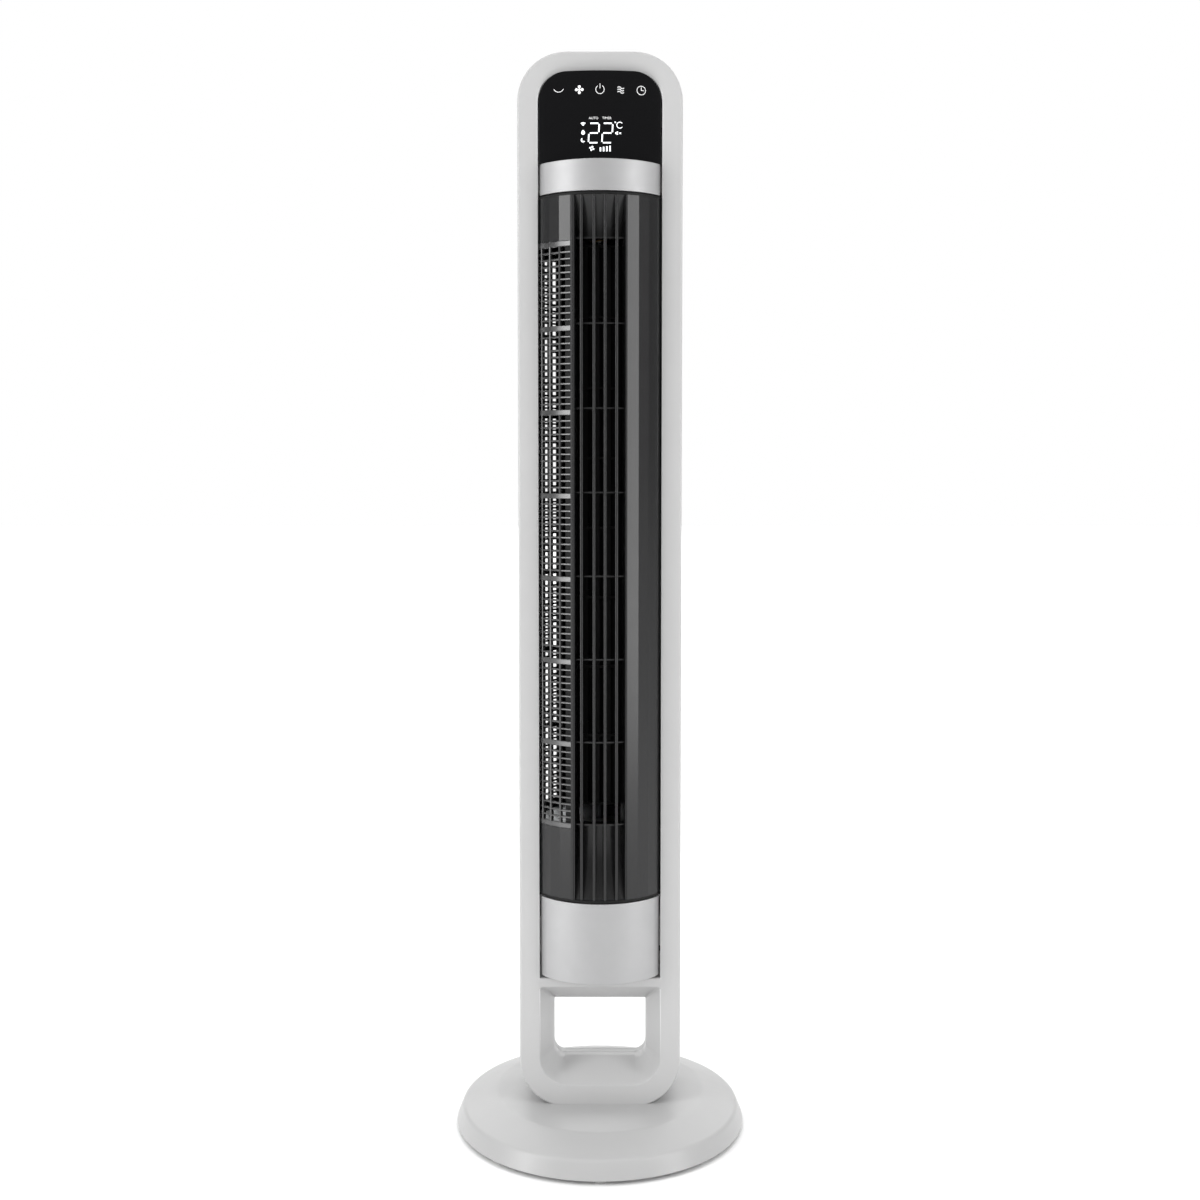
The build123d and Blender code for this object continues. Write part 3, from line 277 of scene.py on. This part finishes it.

# %% [markdown]
# ## Tools for the new pieces
# A new piece starts as a bmesh. When its shape is done, one helper turns it into an object: it points
# the faces outwards, shades the curved faces smooth and keeps true edges sharp, then hangs the piece on
# its body's empty and hides the CAD node it stands for.

# %% Helpers for making pieces
def finish_piece(name, bm, body, finish, stands_for=(), sharp=35.0, outward=True):
    """Makes an object from a bmesh, hangs it on its body and hides the CAD nodes it stands for."""
    if outward:
        bmesh.ops.recalc_face_normals(bm, faces=bm.faces)
    mesh = bpy.data.meshes.new(name)
    bm.to_mesh(mesh)
    bm.free()
    mesh.polygons.foreach_set("use_smooth", [True] * len(mesh.polygons))
    mesh.set_sharp_from_angle(angle=math.radians(sharp))
    mesh.materials.append(finish)
    piece = bpy.data.objects.new(name, mesh)
    scene.collection.objects.link(piece)
    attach(piece, body)
    if stands_for:
        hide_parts(*stands_for)
    print(name, "faces", len(mesh.polygons))
    return piece


def smoothed_copy(node, name, body, finish, sharp=30.0, ease=0.0):
    """A merged copy of a CAD node, with smooth shading and, if asked, eased edges."""
    bm = bmesh.new()
    bm.from_mesh(nodes[node].data)
    bmesh.ops.remove_doubles(bm, verts=bm.verts, dist=1e-6)
    if ease:
        bmesh.ops.dissolve_limit(bm, angle_limit=math.radians(0.5), verts=bm.verts, edges=bm.edges)
        corners = [e for e in bm.edges if e.is_manifold and e.calc_face_angle() > math.radians(60)]
        bmesh.ops.bevel(bm, geom=corners, offset=ease, segments=3, profile=0.5, affect="EDGES",
                        clamp_overlap=True, material=-1)
    piece = finish_piece(name, bm, body, finish, (node,), sharp, outward=False)
    mesh = piece.data
    low = min(v.co.z for v in mesh.vertices) + 1e-5
    for edge in mesh.edges:
        if all(mesh.vertices[i].co.z < low for i in edge.vertices):
            edge.use_edge_sharp = True
    even = piece.modifiers.new("even shading", "WEIGHTED_NORMAL")
    even.weight = 100
    even.keep_sharp = True
    return piece


def on_circle(radius, angle, height=0.0):
    """A point at an angle in degrees from the front, positive towards +X."""
    turn = math.radians(angle)
    return Vector((radius * math.sin(turn), -radius * math.cos(turn), height))


def turned_bar(bm, profile, start, end, steps):
    """Sweeps a closed profile of (radius, height) points round the drum's axis."""
    corners = [bm.verts.new(on_circle(radius, start, height)) for radius, height in profile]
    face = bm.faces.new(corners)
    bmesh.ops.spin(
        bm, geom=[face, *face.edges, *face.verts], cent=(0, 0, 0), axis=(0, 0, 1),
        angle=math.radians(end - start), steps=steps, use_merge=False,
    )


def upright(bm, outline, low, high):
    """Raises a flat outline of (x, y) points into an upright bar."""
    face = bm.faces.new([bm.verts.new((x, y, low)) for x, y in outline])
    raised = bmesh.ops.extrude_face_region(bm, geom=[face])["geom"]
    top = [v for v in raised if isinstance(v, bmesh.types.BMVert)]
    bmesh.ops.translate(bm, verts=top, vec=(0, 0, high - low))


# %% [markdown]
# ## Frame shells
# The two shells meet on a fine parting line half way through the depth. Their CAD meshes are made of
# loose triangles, so a merged copy is shaded smooth round the corners and bevels. The eased edge along
# the opening is painted a lighter white, a painted highlight line. Its faces are found by where they are
# and by how far they lean.

# %% Smooth the shells and covers
edge_reach = 1.9 * MM
edge_from = grille_low.z - 0.2
least_lean = 0.4
most_lean = 0.9
most_tilt = 0.3
panel_sharp = 50.0
cover_ease = 0.6 * MM


def on_opening_edge(face):
    """Tells if a frame face belongs to the eased edge along the opening, which gets the painted highlight."""
    leans = least_lean < abs(face.normal.x) < most_lean and abs(face.normal.z) < most_tilt
    near = abs(abs(face.center.x) - opening_half) < edge_reach
    return leans and near and face.center.z > edge_from


for node in ("frame_front", "frame_rear"):
    skin = smoothed_copy(node, node + "_skin", "stand", white_shell, sharp=panel_sharp)
    # The eased edge along the opening takes the second slot, the painted highlight.
    skin.data.materials.append(painted_highlight_edge)
    for face in skin.data.polygons:
        if on_opening_edge(face):
            face.material_index = 1
smoothed_copy("head_rear_cover", "head_rear_skin", "stand", white_shell, sharp=panel_sharp, ease=cover_ease)
for node in ("lower_cover", "lower_rear_cover", "upper_band", "upper_rear_band"):
    smoothed_copy(node, node + "_skin", "stand", pearl_cover, sharp=panel_sharp, ease=cover_ease)
smoothed_copy("display_panel", "display_glass", "stand", black_gloss, sharp=panel_sharp, ease=cover_ease)

# %% [markdown]
# ## Drum skin
# The drum's skin isn't quite round. It is moulded in flat upright strips about ten degrees wide, and
# each strip catches the light as one band. A spin with few steps makes exactly that: a rectangle
# turned about the axis, one step for each strip.

# %% Drum skin in strips
wall = 2.5 * MM
outlet_angle = 21.5
grille_start = 23.5
strip = 9.75
grille_strips = 14
plain_strips = 18
skin_inner = drum_radius - wall
grille_end = grille_start + grille_strips * strip
bm = bmesh.new()
full_height = [(skin_inner, shell_bottom), (drum_radius, shell_bottom), (drum_radius, shell_top),
               (skin_inner, shell_top)]
turned_bar(bm, full_height, outlet_angle, 360 - grille_end, plain_strips)
turned_bar(bm, full_height, -grille_start, -outlet_angle, 1)
for low, high in ((shell_bottom, grille_low.z), (grille_high.z, shell_top)):
    short = [(skin_inner, low), (drum_radius, low), (drum_radius, high), (skin_inner, high)]
    turned_bar(bm, short, -grille_end, -grille_start, grille_strips)
finish_piece("drum_skin", bm, "drum", charcoal, ("drum_shell",), sharp=4.0)

# %% [markdown]
# ## Intake grille
# The air goes in through a mesh of small slots: seven tall fields, each with thin bars across and
# upright ribs between the drum's strips. The bars have rounded outer edges, so each one shows as a
# bright line. They are short profiles turned about the axis.

# %% Intake mesh
bar = 1.8 * MM
wide_bar = 5.0 * MM
fields = 7
slots = 12
rib_half = 0.75
rib_shoulder = 0.3 * MM
bar_ease = 0.5 * MM
mesh_outer = drum_radius - 0.5 * MM
field_height = (grille_high.z - grille_low.z - wide_bar) / fields
pitch = (field_height - wide_bar + bar) / slots
bm = bmesh.new()


def cross_bar(low, high, outer):
    """One bar across the grille, with its two outer edges eased."""
    profile = [(skin_inner, low), (outer - bar_ease, low), (outer, low + bar_ease),
               (outer, high - bar_ease), (outer - bar_ease, high), (skin_inner, high)]
    turned_bar(bm, profile, -grille_end, -grille_start, grille_strips)


for field in range(fields + 1):
    low = grille_low.z + field * field_height
    cross_bar(low, low + wide_bar, drum_radius)
for field in range(fields):
    for slot in range(1, slots):
        middle = grille_low.z + field * field_height + wide_bar + slot * pitch - bar / 2
        cross_bar(middle - bar / 2, middle + bar / 2, mesh_outer)
for rib in range(1, grille_strips):
    angle = -grille_start - rib * strip
    rib_outline = [on_circle(skin_inner - MM, angle - rib_half), on_circle(skin_inner - MM, angle + rib_half),
                   on_circle(drum_radius - rib_shoulder, angle + rib_half), on_circle(drum_radius, angle),
                   on_circle(drum_radius - rib_shoulder, angle - rib_half)]
    upright(bm, [(p.x, p.y) for p in rib_outline], grille_low.z, grille_high.z)
finish_piece("intake_mesh", bm, "drum", grille_charcoal, ("intake_grille",), sharp=20.0)

# %% [markdown]
# ## Air outlet
# The outlet is a tall recess with four upright fins and eight thin cross ribs set back behind them. At
# both ends the recess closes with a scoop that curves from the drum's face down to the ribs' depth.

# %% Outlet with fins, ribs and scoops
recess = drum_radius - 13 * MM
side = outlet_angle - 0.2
outlet_wall = 1.0
wall_face = drum_radius - 0.3 * MM
bm = bmesh.new()
for sign in (-1, 1):
    wall_profile = [(recess, shell_bottom), (wall_face, shell_bottom), (wall_face, shell_top),
                    (recess, shell_top)]
    turned_bar(bm, wall_profile, sign * side, sign * (side - outlet_wall), 1)
fin_places = (-17.0, -5.5, 4.6, 15.2)
fin_front = 1.4 * MM
fin_depth = 1.0 * MM
fin_back = 0.8 * MM
fin_behind = 3 * MM
nose_steps = 8
for place in fin_places:
    x = place * MM
    front = -math.sqrt(drum_radius ** 2 - (abs(x) + fin_front) ** 2)
    back = -(recess - fin_behind)
    outline = [(x + fin_back, back), (x - fin_back, back)]
    for step in range(nose_steps + 1):
        turn = math.pi * step / nose_steps
        outline.append((x - fin_front * math.cos(turn), front + fin_depth - fin_depth * math.sin(turn)))
    upright(bm, outline, shell_bottom, shell_top)
ribs = 8
rib_lowest = 0.305
rib_pitch = 0.0769
rib_thick = 1.6 * MM
rib_ease = 0.4 * MM
rib_face = drum_radius - 4 * MM
turn_steps = 12
for rib in range(ribs):
    low = rib_lowest + rib * rib_pitch
    high = low + rib_thick
    profile = [(recess, low), (rib_face - rib_ease, low), (rib_face, low + rib_ease),
               (rib_face, high - rib_ease), (rib_face - rib_ease, high), (recess, high)]
    turned_bar(bm, profile, -side, side, turn_steps)
scoop_steps = 10
scoop_reach = 11 * MM
scoop_wall = 1.8 * MM
scoop_curve = 1.3


def scoop(bm, flush, deep):
    """A curved wall from the drum's face at one height to the recess's depth at another."""
    front = []
    back = []
    for step in range(scoop_steps + 1):
        share = step / scoop_steps
        height = flush + (deep - flush) * share
        radius = recess + scoop_reach * (1 - math.sin(share * math.pi / 2)) ** scoop_curve
        front.append((radius, height))
        back.append((radius - scoop_wall, height))
    back.reverse()
    turned_bar(bm, front + back, -side, side, turn_steps)


scoop(bm, shell_top, rib_lowest + (ribs - 1) * rib_pitch)
scoop(bm, shell_bottom, rib_lowest + rib_thick)
finish_piece("outlet_louvre", bm, "drum", charcoal, ("outlet_grille",), sharp=30.0)

# %% [markdown]
# ## Base
# The base is a round cover with a short leaning wall, a soft crease, a gently sloping ring and a flat
# plateau. A lathe shape suits it: one profile with eased corners, spun about the upright axis. Its
# points are pairs of radius and height in metres. They run over the plateau from its inner edge, down the
# wall to the foot, and back along the inside.

# %% Base cover on a lathe
base_profile = [(0.0223, 0.0314), (0.0985, 0.0314), (0.1008, 0.0312), (0.1030, 0.0305), (0.1300, 0.0210),
                (0.1318, 0.0202), (0.1332, 0.0189), (0.1340, 0.0170), (0.1386, 0.0056), (0.1389, 0.0046),
                (0.1386, 0.0040), (0.1365, 0.0040), (0.1312, 0.0168), (0.1015, 0.0289), (0.0223, 0.0289)]
bm = bmesh.new()
ring = [bm.verts.new((radius, 0, height)) for radius, height in base_profile]
edges = [bm.edges.new((ring[i], ring[(i + 1) % len(ring)])) for i in range(len(ring))]
bmesh.ops.spin(bm, geom=ring + edges, cent=(0, 0, 0), axis=(0, 0, 1), angle=math.tau, steps=160,
               use_merge=True)
bmesh.ops.remove_doubles(bm, verts=bm.verts, dist=1e-6)
finish_piece("base_lathe", bm, "stand", white_base, ("base_cover",), sharp=40.0)
smoothed_copy("rubber_feet", "foot_pads", "stand", soft_rubber)

# %% [markdown]
# ## Marks on the display
# Five touch marks run along the top of the display, and a read-out glows below them. Each mark is a thin
# flat shape a tenth of a millimetre proud of the acrylic. They are drawn in the plane of the display and
# then pressed onto its gentle bulge.

# %% Helpers for flat marks
panel_front = panel_low.y
bulge = 10.0 * MM
bulge_half = 0.0565
bulge_radius = (bulge_half ** 2 + bulge ** 2) / (2 * bulge)
mark_proud = 0.12 * MM
mark_lift = mark_proud * 0.4


def mark_bar(bm, x, z, width, height, lean=0.0):
    """A flat upright bar in the plane of the display, centred on a point."""
    place = Matrix.Translation((x, 0, z)) @ Matrix.Rotation(math.radians(lean), 4, "Y")
    bmesh.ops.create_cube(bm, size=1.0, matrix=place @ Matrix.Diagonal((width, mark_proud, height, 1)))


def mark_arc(bm, x, z, radius, width, start, end, steps=24):
    """A flat arc, its angles in degrees from straight up, clockwise."""
    half = width / 2
    section = ((radius - half, 0), (radius + half, 0), (radius + half, mark_proud),
               (radius - half, mark_proud))
    corners = []
    for r, y in section:
        corners.append(bm.verts.new((x + r * math.sin(math.radians(start)), y - mark_proud / 2,
                                     z + r * math.cos(math.radians(start)))))
    face = bm.faces.new(corners)
    bmesh.ops.spin(bm, geom=[face, *face.edges, *face.verts], cent=(x, 0, z), axis=(0, 1, 0),
                   angle=math.radians(end - start), steps=steps, use_merge=False)
    if abs(end - start) >= 360:
        bmesh.ops.remove_doubles(bm, verts=bm.verts, dist=1e-7)


def mark_disc(bm, x, z, radius):
    """A flat round dot."""
    turn = Matrix.Translation((x, 0, z)) @ Matrix.Rotation(math.pi / 2, 4, "X")
    bmesh.ops.create_cone(bm, cap_ends=True, segments=20, radius1=radius, radius2=radius,
                          depth=mark_proud, matrix=turn)


def press_on(bm):
    """Moves a flat drawing onto the bulged front of the display."""
    for vert in bm.verts:
        fall = bulge_radius - math.sqrt(bulge_radius ** 2 - vert.co.x ** 2)
        vert.co.y += panel_front + fall - mark_lift


# %% [markdown]
# The touch marks are printed on the back of the acrylic, one over each touch spring: night, fan mode,
# power, swing and timer. They sit in one row at an even pitch, drawn with arcs, dots and short bars.

# %% Touch marks
touch_z = panel_high.z - 17.2 * MM
pitch_x = 18.8 * MM
line = 0.52 * MM
petal_out = 2.6 * MM
stalk_out = 1.2 * MM
wave_pitch = 2.0 * MM
wave_half = 1.45 * MM
wave_bend = 1.2 * MM
bm = bmesh.new()
# Night: a shallow bowl.
mark_arc(bm, -2 * pitch_x, touch_z + 3.6 * MM, 5.0 * MM, line, 118, 242)
# Fan mode: four petals on stalks.
for quarter in range(4):
    turn = quarter * math.pi / 2
    mark_disc(bm, -pitch_x + petal_out * math.sin(turn), touch_z + petal_out * math.cos(turn), 1.35 * MM)
    mark_bar(bm, -pitch_x + stalk_out * math.sin(turn), touch_z + stalk_out * math.cos(turn),
             1.1 * MM, 2.4 * MM, math.degrees(turn))
# Power: an open ring and a bar.
mark_arc(bm, 0, touch_z, 3.8 * MM, line, 32, 328)
mark_bar(bm, 0, touch_z + 3.2 * MM, line, 4.4 * MM)
# Swing: three waves, each of two arcs.
for row in (-1, 0, 1):
    for half, start in ((-1, -48), (1, 132)):
        wave_z = touch_z + row * wave_pitch + half * wave_bend - 0.3 * MM
        mark_arc(bm, pitch_x + half * wave_half, wave_z, 2.0 * MM, 0.65 * MM, start, start + 96, 10)
# Timer: a clock's ring and two hands.
mark_arc(bm, 2 * pitch_x, touch_z, 3.9 * MM, line, 0, 360, 36)
mark_bar(bm, 2 * pitch_x, touch_z + 1.4 * MM, line, 2.9 * MM)
mark_bar(bm, 2 * pitch_x + 1.1 * MM, touch_z, 2.6 * MM, line)
press_on(bm)
# The touch marks take the printed finish, which has a painted glow.
touch_marks = finish_piece("touch_marks", bm, "stand", printed_marks_painted_glow)

# %% [markdown]
# The read-out shows the room's temperature in two seven-segment digits, with small signs round them for
# the degrees, wireless, air, night, sound and fan speed. Every sign has its own place, in metres.

# %% Lit digits
digit_z = 0.940
digit_width = 10.2 * MM
digit_height = 18.6 * MM
digit_lean = 0.05
digit_lefts = (-10.7 * MM, 1.6 * MM)
segment = 1.2 * MM
reach = digit_width - 2.4 * segment
rise = (digit_height - segment) / 2 - 1.4 * segment
speed_foot = 0.9235
left_signs = -15.4 * MM
fan_x = -7.4 * MM
fan_z = 0.9262
fan_petal = 1.5 * MM
bm = bmesh.new()
for left in digit_lefts:
    middle = left + digit_width / 2
    for level in (-1, 0, 1):
        mark_bar(bm, middle, digit_z + level * (digit_height - segment) / 2, reach, segment)
    mark_bar(bm, left + digit_width - segment / 2, digit_z + (digit_height - segment) / 4, segment, rise)
    mark_bar(bm, left + segment / 2, digit_z - (digit_height - segment) / 4, segment, rise)
for vert in bm.verts:
    vert.co.x += digit_lean * (vert.co.z - digit_z)
# Fan speed: four bars that grow to the right.
for step in range(4):
    height = (3.6 + 0.5 * step) * MM
    mark_bar(bm, (0.4 + 2.9 * step) * MM, speed_foot + height / 2, 1.35 * MM, height)
# Wireless: three arcs over each other.
for ring in range(3):
    mark_arc(bm, left_signs, 0.9462, (0.9 + 1.15 * ring) * MM, 0.6 * MM, -42, 42, 8)
# Air: a drop, made of a dot and a square on its corner.
mark_disc(bm, left_signs, 0.9403, 1.7 * MM)
mark_bar(bm, left_signs, 0.9416, 1.9 * MM, 1.9 * MM, 45)
# Night: a crescent.
mark_arc(bm, left_signs, 0.9338, 1.5 * MM, 1.1 * MM, 130, 330, 16)
# Degrees: a letter C and a small ring.
mark_arc(bm, 18.0 * MM, 0.9472, 2.7 * MM, 0.6 * MM, 128, 412, 20)
mark_arc(bm, 13.9 * MM, 0.9497, 0.55 * MM, 0.35 * MM, 0, 360, 14)
# Sound: a small loudspeaker and a cross.
mark_bar(bm, 14.6 * MM, 0.9400, 1.3 * MM, 1.6 * MM)
mark_bar(bm, 15.8 * MM, 0.9400, 1.2 * MM, 2.9 * MM)
for lean in (45, -45):
    mark_bar(bm, 18.4 * MM, 0.9400, 0.45 * MM, 2.1 * MM, lean)
# Fan: four petals, a little turned.
for quarter in range(4):
    turn = quarter * math.pi / 2 + math.radians(20)
    mark_disc(bm, fan_x + fan_petal * math.sin(turn), fan_z + fan_petal * math.cos(turn), 0.85 * MM)
press_on(bm)
readout_marks = finish_piece("readout_marks", bm, "stand", lit_digits)

# %% [markdown]
# Two plain words sit above the digits. They are drawn as lettering, turned into a mesh at once, moved
# into the plane of the display and then pressed onto its bulge like the other marks.

# %% Small generic labels
def label(name, words, x, z, size):
    """Plain lettering as a flat mesh on the display."""
    curve = bpy.data.curves.new(name, "FONT")
    curve.body = words
    curve.size = size
    curve.align_x = "CENTER"
    curve.align_y = "CENTER"
    curve.extrude = mark_proud / 2
    curve.resolution_u = 3
    flat = bpy.data.objects.new(name, curve)
    scene.collection.objects.link(flat)
    bpy.context.view_layer.update()
    drawn = bpy.data.meshes.new_from_object(flat.evaluated_get(bpy.context.evaluated_depsgraph_get()))
    bpy.data.objects.remove(flat)
    bm = bmesh.new()
    bm.from_mesh(drawn)
    bmesh.ops.transform(bm, matrix=Matrix.Translation((x, 0, z)) @ Matrix.Rotation(math.pi / 2, 4, "X"),
                        verts=bm.verts)
    bmesh.ops.remove_doubles(bm, verts=bm.verts, dist=1e-7)
    press_on(bm)
    # The lettering takes the printed finish with its painted glow.
    piece = finish_piece(name, bm, "stand", printed_marks_painted_glow)


label_z = 0.9533
label_size = 3.1 * MM
label("auto_label", "AUTO", -5.9 * MM, label_z, label_size)
label("timer_label", "TIMER", 6.2 * MM, label_z, label_size)

# %% [markdown]
# ## Floor, lights and camera
# A pale floor runs back until it meets the bright surroundings, and a wide light high above its far end
# keeps it white. The floor's tone has faint clouds, like painted board.

# %% Floor
floor_reach = 14.0
pale, tree, shader, coordinates = start_finish("pale studio floor")
shader.inputs["Roughness"].default_value = 0.9
shader.inputs["Specular IOR Level"].default_value = 0.1
faint = tree.nodes.new("ShaderNodeMix")
faint.data_type = "RGBA"
faint.inputs["A"].default_value = (0.93, 0.93, 0.93, 1)
faint.inputs["B"].default_value = (0.96, 0.96, 0.96, 1)
link(tree, noise(tree, coordinates, 1.5).outputs["Fac"], faint.inputs["Factor"])
link(tree, faint.outputs["Result"], shader.inputs["Base Color"])
bm = bmesh.new()
bmesh.ops.create_grid(bm, x_segments=1, y_segments=1, size=floor_reach)
floor_mesh = bpy.data.meshes.new("studio_floor")
bm.to_mesh(floor_mesh)
bm.free()
floor_mesh.materials.append(pale)
floor = bpy.data.objects.new("studio_floor", floor_mesh)
scene.collection.objects.link(floor)

# %% [markdown]
# The two side boxes stand a little under sixty degrees round from the front. A strip of the drum's skin
# reflects them where it faces half way between the box and the camera, so they light the strip beside the
# outlet. Their sizes are in metres and their powers in watts.

# %% Lights
def soft_box(name, place, target, width, height, power):
    """A rectangular soft light that faces a point."""
    lamp = bpy.data.lights.new(name, "AREA")
    lamp.shape = "RECTANGLE"
    lamp.size = width
    lamp.size_y = height
    lamp.energy = power
    holder = bpy.data.objects.new(name, lamp)
    holder.location = place
    holder.rotation_euler = (Vector(target) - Vector(place)).to_track_quat("-Z", "Y").to_euler()
    scene.collection.objects.link(holder)


fan_middle = (0, 0, 0.55)
soft_box("left box", (-1.7, -1.05, 0.95), fan_middle, 0.55, 2.0, 26)
soft_box("right box", (1.65, -1.1, 0.95), fan_middle, 0.5, 2.0, 19)
soft_box("top box", (0, 0.1, 2.6), (0, 0, 0), 1.6, 1.6, 9)
soft_box("backdrop wash", (0, 8.5, 5.0), (0, 8.5, 0), 12.0, 11.0, 460)

# %% [markdown]
# The room is brightest behind the fan and above it, and dimmer behind the camera, as in a studio with a
# lit white backdrop. The dim front is what keeps the display black. The ramp runs from behind the camera,
# at 0, past the sides, at 0.5, to straight behind the fan, at 1.

# %% Surroundings
world = bpy.data.worlds.new("studio")
scene.world = world
world.use_nodes = True
tree = world.node_tree
direction = tree.nodes.new("ShaderNodeTexCoord")
parts = tree.nodes.new("ShaderNodeSeparateXYZ")
link(tree, direction.outputs["Generated"], parts.inputs["Vector"])
depth = tree.nodes.new("ShaderNodeValToRGB")
camera_side = 0.42
white_from = 0.94
side_levels = ((0.5, 0.32), (0.78, 0.34))
depth.color_ramp.elements[0].color = (camera_side, camera_side, camera_side, 1)
depth.color_ramp.elements[1].position = white_from
depth.color_ramp.elements[1].color = (1, 1, 1, 1)
for position, level in side_levels:
    depth.color_ramp.elements.new(position).color = (level, level, level, 1)
behind = tree.nodes.new("ShaderNodeMapRange")
behind.inputs["From Min"].default_value = -1.0
link(tree, parts.outputs["Y"], behind.inputs["Value"])
link(tree, behind.outputs["Result"], depth.inputs["Fac"])
above = tree.nodes.new("ShaderNodeMapRange")
above.inputs["From Min"].default_value = 0.25
above.inputs["From Max"].default_value = 0.8
link(tree, parts.outputs["Z"], above.inputs["Value"])
sky = tree.nodes.new("ShaderNodeMix")
sky.data_type = "RGBA"
sky.inputs["B"].default_value = (1, 1, 1, 1)
link(tree, above.outputs["Result"], sky.inputs["Factor"])
link(tree, depth.outputs["Color"], sky.inputs["A"])
link(tree, sky.outputs["Result"], tree.nodes["Background"].inputs["Color"])
tree.nodes["Background"].inputs["Strength"].default_value = 1.0
scene.view_settings.view_transform = "Standard"
scene.view_settings.look = "None"

# %% [markdown]
# A camera a little above the fan's middle, tilted slightly down, shows the tall front almost without
# convergence and still looks down onto the base.

# %% Camera
tilt_down = 3.36
camera_data = bpy.data.cameras.new("camera")
camera_data.lens = 44.7
camera_data.shift_y = -0.04
camera_data.sensor_width = 36.0
camera = bpy.data.objects.new("camera", camera_data)
camera.location = (0, -1.425, 0.639)
camera.rotation_euler = (math.radians(90 - tilt_down), 0, 0)
scene.collection.objects.link(camera)
scene.camera = camera
print("camera", [round(v, 3) for v in camera.location], "lens", camera_data.lens)
